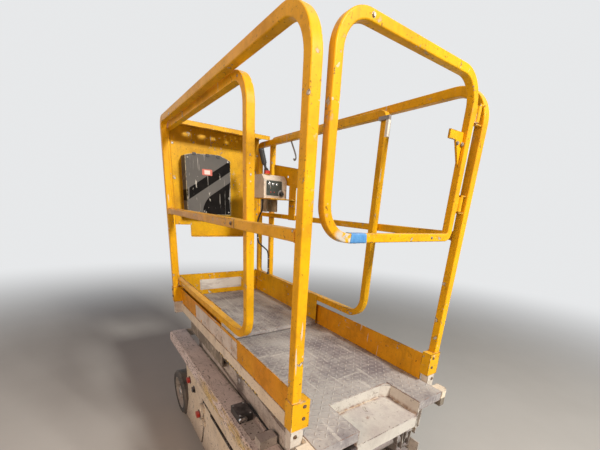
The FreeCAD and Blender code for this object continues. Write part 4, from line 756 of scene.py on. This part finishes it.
# Bolts, rivets and screws: look and body, then rows of head, size, facing and places along, across and high
headLook = {
    # In the sockets, in the pivot plates and at the sleeve of each mid rail
    "railBolts": ("darkBolt", "platform", (
        (hexBolt, (0.009,), rear, (-0.816,), (0.3275,), (0.967,)),
        (hexBolt, (0.009,), rear, (-0.816,), (0.329,), (0.924,)),
        (hexBolt, (0.010,), left, (0.664,), (0.373,), (0.967, 0.924)),
        (hexBolt, (0.010,), rear, (-0.812,), (0.354,), (0.862,)),
        (hexBolt, (0.010,), left, (-0.358,), (0.370,), (1.466,)))),
    # Through the boards to the channels, from outside and from the deck
    "boardRivets": ("board", "platform", (
        (domeHead, (0.0055, 0.0028), left, (-0.74, -0.38, -0.02, 0.34, 0.62), (0.3221,), (0.892,)),
        (domeHead, (0.0045, 0.0022), right, (-0.745, -0.573, -0.23), (0.3189,), (0.925,)))),
    "deckScrews": ("bolt", "platform", (
        (domeHead, (0.007, 0.0016), up, (-0.70, -0.50, -0.30, -0.10), (0.296,), (0.850,)),)),
    "extensionScrews": ("bolt", "extension", (
        (domeHead, (0.007, 0.0016), up, (0.02, 0.20, 0.38, 0.56, 0.74), (0.282,), (0.878,)),)),
    # On the gate's hoop and catch
    "gateBolts": ("bolt", "gate", (
        (hexBolt, (0.008,), rear, (-0.8122,), (0.207,), (1.953,), False),
        (hexBolt, (0.007,), rear, (-0.8122,), (-0.165,), (1.463,), False),
        (hexBolt, (0.009,), rear, (-0.8025,), (-0.225, -0.252), (1.762,), False))),
    # At the corners of the front board's sheet and of the box on the front wall
    "sheetRivets": ("steel", "extension", (
        (domeHead, (0.0035, 0.0014), rear, (0.7812,), (0.150,), (0.920, 0.982)),)),
    "boxScrews": ("steel", "extension", (
        (domeHead, (0.0045, 0.0020), rear, (0.686,), (-0.032, 0.224), (1.468, 1.782), False),)),
    # On the front wall's flanges and front face, and behind the box
    "wallBolts": ("bolt", "extension", (
        (hexBolt, (0.010,), rear, (0.774,), (0.287,), (1.46, 1.66, 1.86)),
        (hexBolt, (0.010,), ahead, (0.777,), (0.262,), (1.46, 1.66, 1.86)),
        (hexBolt, (0.009,), ahead, (0.777,), (-0.020, 0.212), (1.495, 1.760), False))),
    # On the control box's panel and its hanger
    "panelLamps": ("red", "extension", (
        (domeHead, (0.0034, 0.0040), rear, (0.3488,), (-0.172, -0.196), (1.610,), False),)),
    "panelScrews": ("steel", "extension", (
        (domeHead, (0.0036, 0.0018), rear, (0.350,), (-0.130, -0.277), (1.586, 1.672), False),)),
    "hangerBolts": ("bolt", "extension", (
        (hexBolt, (0.010,), left, (0.282, 0.314), (-0.295,), (1.535,), False),)),
    # Along the tops of the covers and the side panels
    "coverScrews": ("bolt", "chassis", (
        (domeHead, (0.0055, 0.0020), up, (-0.66, -0.18, 0.16, 0.50, 0.80), (0.345,), (0.600,)),
        (domeHead, (0.0050, 0.0024), left, (-0.43, 0.02, 0.44), (0.3602,), (0.500,)))),
}
for name, (lookName, body, rows) in headLook.items():
    addPiece(name, [shell for row in rows for shell in heads(*row)], lookName, body)

# Weld beads of the rail frames: round each mid rail where it meets a post, and round each socket's top
weldLook = {"across": 0.354, "midRail": 1.466, "ends": ((-0.7795, 0.033), (0.6475, 0.029)), "socketTop": 0.9865,
            "sockets": ((-0.796, 0.0335), (0.664, 0.0335)), "corner": 0.005}
railWelds = [ringBead((x, s * weldLook["across"], high), *facing, (wide, wide), weldLook["corner"])
             for high, facing, key in ((weldLook["midRail"], (left, up), "ends"),
                                       (weldLook["socketTop"], (ahead, left), "sockets"))
             for x, wide in weldLook[key] for s in sides]
addPiece("railWelds", railWelds, "railWeld", "platform")

# Weld beads of the entry well: along its floor and up its left front corner
wellLook = {"front": -0.7235, "back": -0.880, "left": 0.1465, "right": -0.1705, "floor": 0.7915, "rim": 0.846,
            "gap": 0.045}
well = wellLook
wellCorner = (well["front"], well["left"], well["floor"])
wellWelds = [straightBead(start, end) for start, end in (
    ((well["front"], well["right"] + well["gap"], well["floor"]), wellCorner),
    ((well["back"], well["left"], well["floor"]), wellCorner),
    ((well["back"], well["right"], well["floor"]), (well["front"] - well["gap"], well["right"], well["floor"])),
    (wellCorner, (well["front"], well["left"], well["rim"])),
)]
addPiece("wellWelds", wellWelds, "weld", "platform")

# Grey hook under the right top rail: a flat clip on the rail's inner face, a leaning bar and a short crook
hookLook = {
    "bar": 0.0048, "across": -0.3310, "clip": (0.404, -0.3372, 1.9520), "clipSize": (0.020, 0.026),
    "top": ((0.404, -0.3325, 1.955), (0.400, -0.3315, 1.938)),
    "bends": ((0.380, 1.905), (0.352, 1.866), (0.334, 1.838), (0.328, 1.822), (0.333, 1.810), (0.345, 1.808),
              (0.352, 1.816)),
}
hookPath = smoothPath(list(hookLook["top"]) + [(x, hookLook["across"], z) for x, z in hookLook["bends"]], 60)
hookClip = slab(hookLook["clip"], rear, up, hookLook["clipSize"], 0.004, 0.0030, 0.0008)
addPiece("hookWire", [tube(hookPath, hookLook["bar"], 12), hookClip], "grey", "platform")

# Nylon tie round the right rear post and the end of the board, with its head and cut tail
tieLook = {
    "middle": (-0.7955, -0.3445, 0.978), "size": (0.037, 0.0545), "thick": 0.0013, "head": (-0.8165, -0.330, 0.978),
    "tail": ((-0.8175, -0.333, 0.978), (-0.822, -0.318, 0.981), (-0.828, -0.300, 0.990)),
}
tieRing = ringBead(tieLook["middle"], ahead, left, tieLook["size"], 0.006, tieLook["thick"], plain)
tieHead = slab(tieLook["head"], left, up, (0.007, 0.006), 0.001, 0.005, 0.0006)
addPiece("postTie", [tieRing, tieHead, tube(smoothPath(tieLook["tail"], 12), 0.0010, 6)], "pale", "platform")

# Gate: blue tape wound round the lower bar, its turns standing proud by a ripple
tapeLook = {"bar": (-0.799, 1.463), "from": 0.148, "to": 0.206, "half": 0.0138, "corner": 0.0048, "turns": 4.0,
            "proud": 0.00055, "wrinkle": 0.0002, "slant": 0.0022}


def windTape():
    # Half width: base plus a saw tooth once a turn and a slow wrinkle around the bar, on a grid of length by angle
    half = tapeLook["half"]
    share = np.linspace(0, 1, 60)[:, None]
    outline = roundedOutline(2 * half, 2 * half, tapeLook["corner"])
    angle = np.arctan2(outline[:, 1], outline[:, 0])
    saw = tapeLook["proud"] * (1 - ((share * tapeLook["turns"] + angle / (2 * np.pi)) % 1.0))
    scale = 1 + (saw + tapeLook["wrinkle"] * np.sin(5 * angle + 9 * share)) / half
    run = tapeLook["from"] + (tapeLook["to"] - tapeLook["from"]) * share
    slanted = run + tapeLook["slant"] * np.sin(angle + 0.6) * (1 - 2 * share)
    x, z = tapeLook["bar"]
    return ringShell(np.stack([x + outline[:, 0] * scale, slanted, z + outline[:, 1] * scale], -1))


addPiece("gateTape", [windTape()], "tape", "gate")

# Front board: a blank sheet
sheetLook = {"middle": (0.782, 0.0, 0.951), "size": (0.318, 0.077), "thick": 0.0008}
boardSheet = slab(sheetLook["middle"], right, up, sheetLook["size"], 0.005, sheetLook["thick"], 0.0002)
addPiece("boardSheet", [boardSheet], "sign", "extension")

# Box on the front wall: a blank tag and the clips along its top
boxLook = {"face": 0.686, "tag": (0.1065, 1.7075), "tagSize": (0.064, 0.036), "clips": (0.184, 0.100, 0.033),
           "clipHigh": 1.806}
face = boxLook["face"]
boxTag = slab((face, *boxLook["tag"]), right, up, boxLook["tagSize"], 0.004, 0.0007, 0.0002)
addPiece("boxTag", [boxTag], "tag", "extension")
boxClips = [slab((face, y, boxLook["clipHigh"]), right, up, (0.022, 0.016), 0.003, 0.0035, 0.0010)
            for y in boxLook["clips"]]
addPiece("boxClips", boxClips, "black", "extension")

# Front wall: a bead up each side
wallLook = {"seam": (0.7725, 0.300), "from": 1.40, "to": 1.94, "bead": 0.0024}
x, y = wallLook["seam"]
wallWelds = [straightBead((x, s * y, wallLook["from"]), (x, s * y, wallLook["to"]), wallLook["bead"]) for s in sides]
addPiece("wallWelds", wallWelds, "railWeld", "extension")

# Control box: dark film with a raised rim, toggles, and a fluted knob in its ring, facing the rear
panelLook = {
    "face": 0.350, "middle": (-0.1960, 1.6330), "size": (0.108, 0.086), "rim": 0.007,
    "toggles": (-0.160, -0.186, -0.212), "toggleHigh": 1.656, "toggleLean": (-0.92, 0.0, 0.38),
    "knob": (-0.2440, 1.6040), "knobRadius": 0.0115, "flutes": 12, "fluteDepth": 0.0007,
    "guard": ((0.3492, -0.149, 1.672), (0.332, -0.149, 1.673), (0.325, -0.151, 1.662), (0.325, -0.157, 1.642),
              (0.332, -0.160, 1.630), (0.3492, -0.160, 1.630)),
    "collar": (0.390, -0.167, 1.710),
}
face, size = panelLook["face"], panelLook["size"]
film = slab((face, *panelLook["middle"]), right, up, size, 0.006, 0.0012, 0.0004)
addPiece("panelFilm", [film], "panel", "extension")
rimSize = (size[0] + panelLook["rim"], size[1] + panelLook["rim"])
rim = ringBead((face - 0.0014, *panelLook["middle"]), left, up, rimSize, 0.008, 0.0018, plain)
addPiece("panelRim", [rim], "pale", "extension")
toggleNut = [(0.0, 0.0), (0.0075, 0.0, 1.0), (0.0075, 0.0028, 1.0), (0.0052, 0.0034), (0.0052, 0.006), (0.0, 0.006)]
toggleStem = [(0.0, 0.0), (0.0016, 0.0), (0.0021, 0.006), (0.0030, 0.0105), (0.0018, 0.0130), (0.0, 0.0135)]
toggles = []
for y in panelLook["toggles"]:
    toggles.append(turned(toggleNut, (face - 0.0010, y, panelLook["toggleHigh"]), rear, 24))
    toggles.append(turned(toggleStem, (face - 0.0062, y, panelLook["toggleHigh"]), panelLook["toggleLean"], 14))
addPiece("toggles", toggles, "chrome", "extension")
knobRing = [(0.0, 0.0), (0.0215, 0.0), (0.0215, 0.0035), (0.0195, 0.0050), (0.0160, 0.0050), (0.0150, 0.0030),
            (0.0, 0.0030)]
addPiece("knobRing", [turned(knobRing, (face, *panelLook["knob"]), rear, 36)], "grey", "extension")


def flutedKnob(place):
    # Radius less a wave of flutes, drawn in to a flat face with a rounded edge; rows are share, height, flute share
    axis, first, second = crossAxes(rear)
    rows = np.array([(1.25, 0.0, 0), (1.25, 0.002, 0), (1.0, 0.003, 1), (0.97, 0.012, 1), (0.88, 0.0145, 0.4),
                     (0.30, 0.0150, 0)])
    angles = np.arange(36) / 36 * 2 * np.pi
    wave = 1 + np.cos(panelLook["flutes"] * angles)
    radius = panelLook["knobRadius"] * rows[:, :1] - panelLook["fluteDepth"] * rows[:, 2:] * wave
    spokes = np.cos(angles)[:, None] * first + np.sin(angles)[:, None] * second
    return ringShell(np.asarray(place) + radius[:, :, None] * spokes + rows[:, 1, None, None] * axis)


addPiece("panelKnob", [flutedKnob((face - 0.0025, *panelLook["knob"]))], "black", "extension")
addPiece("toggleGuard", [tube(smoothPath(panelLook["guard"], 40), 0.0019, 10)], "chrome", "extension")
stopCollar = [(0.0235, 0.0), (0.0235, 0.0022), (0.0215, 0.0034), (0.0178, 0.0038), (0.0178, 0.0)]
addPiece("stopCollar", [turned(stopCollar, panelLook["collar"], up, 32)], "plainYellow", "extension")

# Joystick: rubber bellows whose folds shrink as they climb the leaning stem, and a swelling three-sided grip
stickLook = {"foot": (0.450, -0.198, 1.719), "lean": (0.0, 0.3, 1.0), "folds": 5, "tall": 0.034,
             "stem": (0.450, -0.198, 1.710), "gripFrom": 0.070}
climb = np.linspace(0, 1, 41)
foldRadius = 0.0225 - 0.0110 * climb + 0.0016 * np.cos(climb * stickLook["folds"] * 2 * np.pi)
bellows = [(0.0, 0.0), *zip(foldRadius, climb * stickLook["tall"]), (0.0, stickLook["tall"])]
addPiece("stickBellows", [turned(bellows, stickLook["foot"], stickLook["lean"], 28)], "black", "extension")
lean = np.array(stickLook["lean"]) / np.linalg.norm(stickLook["lean"])
grip = [(0.0, 0.0), (0.0150, 0.0)]
grip += [(0.0152 + 0.0012 * math.sin(k * math.pi / 3) ** 2 + 0.0012 * k / 24, 0.001 + 0.0033 * k) for k in range(25)]
grip += [(0.0148, 0.0835), (0.0105, 0.0865), (0.0, 0.0875)]
gripFoot = np.array(stickLook["stem"]) + lean * stickLook["gripFrom"]
addPiece("stickGrip", [turned(grip, gripFoot, stickLook["lean"], 28)], "black", "extension")

# Cable ties and the gland where the cable ends
cableLook = {
    "ties": ((0.4795, -0.150, 1.392), (0.478, -0.150, 1.322), (0.617, -0.310, 1.150), (0.617, -0.310, 1.075)),
    "tieHead": 0.0062, "gland": (0.617, -0.310, 1.0343),
}
band = [(0.0056, -0.0022), (0.0066, -0.0022), (0.0066, 0.0022), (0.0056, 0.0022)]
cableTies = []
for x, y, z in cableLook["ties"]:
    cableTies.append(turned(band, (x, y, z), up, 20))
    cableTies.append(slab((x - cableLook["tieHead"], y, z), right, up, (0.005, 0.006), 0.001, 0.004, 0.0005))
addPiece("cableTies", cableTies, "pale", "extension")
gland = [(0.0, 0.0), (0.0105, 0.0, 1.0), (0.0105, 0.008, 1.0), (0.0088, 0.009), (0.0088, 0.014), (0.0066, 0.017),
         (0.0, 0.017)]
addPiece("cableGland", [turned(gland, cableLook["gland"], up, 24)], "black", "extension")

# Limit switch: screws, a bush, a bent lever with its roller, and a coil spring and rivets on its bracket
switchLook = {
    "screwAlong": (-0.362, -0.280), "screwAcross": (0.292, 0.342), "top": 0.638, "bush": (-0.372, 0.326, 0.621),
    "lever": ((-0.379, 0.326, 0.621), (-0.384, 0.330, 0.630), (-0.390, 0.341, 0.637), (-0.394, 0.350, 0.640)),
    "roller": (-0.396, 0.353, 0.6405), "rollerAxis": (1.0, 0.0, 0.15),
    "springFrom": (-0.478, 0.2745, 0.6095), "springLong": 0.062, "springTurns": 8, "springRadius": 0.0068,
    "rivets": ((-0.388, 0.330), (-0.396, 0.300), (-0.452, 0.334), (-0.462, 0.302)), "plate": 0.604,
}
switchTrim = [domeHead((x, y, switchLook["top"]), up, 0.0042, 0.0022)
              for x in switchLook["screwAlong"] for y in switchLook["screwAcross"]]
bush = [(0.0, 0.0), (0.013, 0.0), (0.013, 0.003), (0.009, 0.004), (0.009, 0.010), (0.0, 0.010)]
addPiece("switchTrim", switchTrim + [turned(bush, switchLook["bush"], rear, 24)], "steel", "chassis")
roller = [(0.0, -0.004), (0.009, -0.004), (0.0098, -0.003), (0.0098, 0.003), (0.009, 0.004), (0.0, 0.004)]
switchLever = [tube(smoothPath(switchLook["lever"], 24), 0.0034, 10)]
switchLever.append(turned(roller, switchLook["roller"], switchLook["rollerAxis"], 24))
addPiece("switchLever", switchLever, "chrome", "chassis")
coil = np.linspace(0, switchLook["springTurns"] * 2 * np.pi, 180)
x, y, z = switchLook["springFrom"]
springPath = np.stack([x - switchLook["springLong"] * coil / coil[-1], y + switchLook["springRadius"] * np.cos(coil),
                       z + switchLook["springRadius"] * np.sin(coil)], -1)
addPiece("bracketSpring", [tube(springPath, 0.0014, 7)], "black", "chassis")
bracketRivets = [domeHead((x, y, switchLook["plate"]), up, 0.0042, 0.0016) for x, y in switchLook["rivets"]]
addPiece("bracketRivets", bracketRivets, "black", "chassis")

# Door latches: a round plate and a turned blade
latchLook = {"place": (-0.405, 0.3600, 0.372), "blade": (0.018, 0.004), "bladeAcross": 0.3642}
latch = [(0.0, 0.0), (0.0155, 0.0), (0.0155, 0.003), (0.0135, 0.005), (0.0120, 0.0045), (0.0, 0.0045)]
x, y, z = latchLook["place"]
for s, tag in ((1, "left"), (-1, "right")):
    blade = slab((x, s * latchLook["bladeAcross"], z), (s * -0.6, 0, 0.8), (s * 0.8, 0, 0.6), latchLook["blade"],
                 0.0015, 0.0030, 0.0006)
    addPiece("doorLatch_" + tag, [turned(latch, (x, s * y, z), (0, s, 0), 28), blade], "steel", "door_" + tag)

# Ground controls: the key in its switch, and a black collar behind each knob
groundLook = {
    "key": (0.326, 0.3741, 0.391), "bow": (0.015, 0.0095), "face": 0.3600,
    "collars": ((0.424, 0.408, 0.020), (0.326, 0.391, 0.018), (0.241, 0.260, 0.022)),
}
keyBow = slab(groundLook["key"], (-0.5, 0, 0.866), (0.866, 0, 0.5), groundLook["bow"], 0.0040, 0.0035, 0.0006)
addPiece("switchKey", [keyBow], "steel", "chassis")
collars = [turned([(0.0, 0.0), (r + 0.006, 0.0), (r + 0.006, 0.0015), (r + 0.001, 0.003), (0.0, 0.003)],
                  (x, groundLook["face"], z), left, 30) for x, z, r in groundLook["collars"]]
addPiece("controlCollars", collars, "black", "chassis")

# Wheels: studs with nuts on the dish of each hub, and a dust cap; rows are tag, axle, side and first angle
wheelLook = {
    "rows": (("front_left", 0.69, 1, 0.2), ("front_right", 0.69, -1, 0.5), ("rear_left", -0.69, 1, 0.9),
             ("rear_right", -0.69, -1, 0.05)),
    "studs": 5, "studCircle": 0.078, "dish": 0.340, "cap": 0.3720, "capSize": (0.024, 0.0058),
}
stud = [(0.0, 0.0), (0.0125, 0.0), (0.0125, 0.002), (0.0098, 0.002, 1.0), (0.0098, 0.011, 1.0), (0.0082, 0.0125, 0.4),
        (0.0052, 0.0125), (0.0052, 0.019), (0.0, 0.0195)]
high = tyreLook["axleHigh"]
for tag, axleX, s, start in wheelLook["rows"]:
    angles = [start + k * 2 * math.pi / wheelLook["studs"] for k in range(wheelLook["studs"])]
    spots = [(axleX + wheelLook["studCircle"] * math.cos(angle), s * wheelLook["dish"],
              high + wheelLook["studCircle"] * math.sin(angle)) for angle in angles]
    addPiece("wheelNuts_" + tag, [turned(stud, spot, (0, s, 0), 24) for spot in spots], "bolt", "wheel_" + tag)
    cap = domeHead((axleX, s * wheelLook["cap"], high), (0, s, 0), *wheelLook["capSize"])
    addPiece("hubCap_" + tag, [cap], "steel", "wheel_" + tag)

# Scissor arms: low domed keepers on the middle and rear pins of each outer arm
pinLook = {"low": 0.282, "pitch": 0.110, "across": 0.2500, "size": (0.0135, 0.0030),
           "pins": ((-0.800, 0.0), (-0.137278, 0.055))}
for level in range(4):
    high = pinLook["low"] + pinLook["pitch"] * level
    keepers = [shell for x, rise in pinLook["pins"]
               for shell in heads(domeHead, pinLook["size"], left, (x,), (pinLook["across"],), (high + rise,))]
    addPiece("pinKeepers_%d" % (level + 1), keepers, "steel", "outer_%d" % (level + 1))
print("stage: trim pieces added")


# Stage: a pale floor that fades into a pale background, for the camera and for what gloss and glass show
stageLook = {
    "floor": rgb(0.53, 0.52, 0.50),
    "floorCloud": rgb(0.50, 0.49, 0.47),
    "background": rgb(0.80, 0.81, 0.82),
    "world": rgb(0.76, 0.80, 0.90),
    "worldStrength": 0.13,
    "fadeFrom": 2.6,
    "fadeTo": 7.5,
    "rays": ("Is Camera Ray", "Is Glossy Ray", "Is Transmission Ray"),
}


def floorFinish():
    paint = Paint("floorPaint", stageLook["floor"])
    paint.cover(paint.noise(1.4, 5.0, 0.6).above(0.5, 0.25), stageLook["floorCloud"])
    near = paint.add("BsdfDiffuse", {}, {"Color": paint.colour})
    far = paint.add("Emission", {}, {"Color": stageLook["background"]})
    distance = (paint.x ** 2.0 + paint.y ** 2.0) ** 0.5
    path = paint.add("LightPath", {}, {})
    seen, mirrored, through = (paint.wire(path, output) for output in stageLook["rays"])
    share = paint.ramp(distance, stageLook["fadeFrom"], stageLook["fadeTo"]) * seen.most(mirrored).most(through)
    mixed = paint.add("MixShader", {}, {0: share, 1: paint.wire(near, "BSDF"), 2: paint.wire(far, "Emission")})
    paint.add("OutputMaterial", {}, {"Surface": paint.wire(mixed, "Shader")})
    return paint.material


def addFloor(reach=40.0):
    mesh = bpy.data.meshes.new("floor")
    corners = [(-reach, -reach, 0), (reach, -reach, 0), (reach, reach, 0), (-reach, reach, 0)]
    mesh.from_pydata(corners, [], [(0, 1, 2, 3)])
    floor = bpy.data.objects.new("floor", mesh)
    bpy.context.scene.collection.objects.link(floor)
    mesh.materials.append(floorFinish())


addFloor()

# Lights: name, place, aim, width, power, colour
lights = (
    ("key", (-4.60, -1.02, 4.45), (0.0, 0.0, 1.0), 0.80, 392.0, (1.0, 0.955, 0.88)),
    ("fill", (-2.3, 4.0, 2.9), (0.0, 0.0, 0.7), 2.4, 112.0, (1.0, 0.69, 0.50)),
    ("back", (4.4, 1.6, 3.6), (0.0, 0.0, 0.8), 3.0, 9.0, (0.96, 0.97, 1.0)),
)
for name, place, aim, width, power, colour in lights:
    data = bpy.data.lights.new(name, "AREA")
    data.shape = "SQUARE"
    data.size = width
    data.energy = power
    data.color = colour
    lamp = bpy.data.objects.new(name, data)
    lamp.location = place
    lamp.rotation_euler = (Vector(aim) - Vector(place)).to_track_quat("-Z", "Y").to_euler()
    bpy.context.scene.collection.objects.link(lamp)

world = bpy.data.worlds.new("studio")
world.use_nodes = True
sky = world.node_tree
lit = sky.nodes["Background"]
lit.inputs["Color"].default_value = stageLook["world"]
lit.inputs["Strength"].default_value = stageLook["worldStrength"]
shown = sky.nodes.new("ShaderNodeBackground")
shown.inputs["Color"].default_value = stageLook["background"]
path = sky.nodes.new("ShaderNodeLightPath")
seen = path.outputs[stageLook["rays"][0]]
for output in stageLook["rays"][1:]:
    either = sky.nodes.new("ShaderNodeMath")
    either.operation = "MAXIMUM"
    sky.links.new(seen, either.inputs[0])
    sky.links.new(path.outputs[output], either.inputs[1])
    seen = either.outputs[0]
choice = sky.nodes.new("ShaderNodeMixShader")
sky.links.new(seen, choice.inputs[0])
sky.links.new(lit.outputs["Background"], choice.inputs[1])
sky.links.new(shown.outputs["Background"], choice.inputs[2])
sky.links.new(choice.outputs["Shader"], sky.nodes["World Output"].inputs["Surface"])
bpy.context.scene.world = world
bpy.context.scene.view_settings.view_transform = "Standard"

# Camera: fitted to the photograph's straight edges, with the upward framing it needs
cameraLook = {
    "place": (-1.450, 0.8032, 1.5381),
    "turnDegrees": (71.481, -3.433, -124.738),
    "lens": 18.54,
    "shift": (-0.0105, 0.142),
}
cameraData = bpy.data.cameras.new("camera")
cameraData.lens = cameraLook["lens"]
cameraData.shift_x, cameraData.shift_y = cameraLook["shift"]
camera = bpy.data.objects.new("camera", cameraData)
camera.location = cameraLook["place"]
camera.rotation_euler = [math.radians(angle) for angle in cameraLook["turnDegrees"]]
bpy.context.scene.collection.objects.link(camera)
bpy.context.scene.camera = camera
print("stage: lights and camera set")
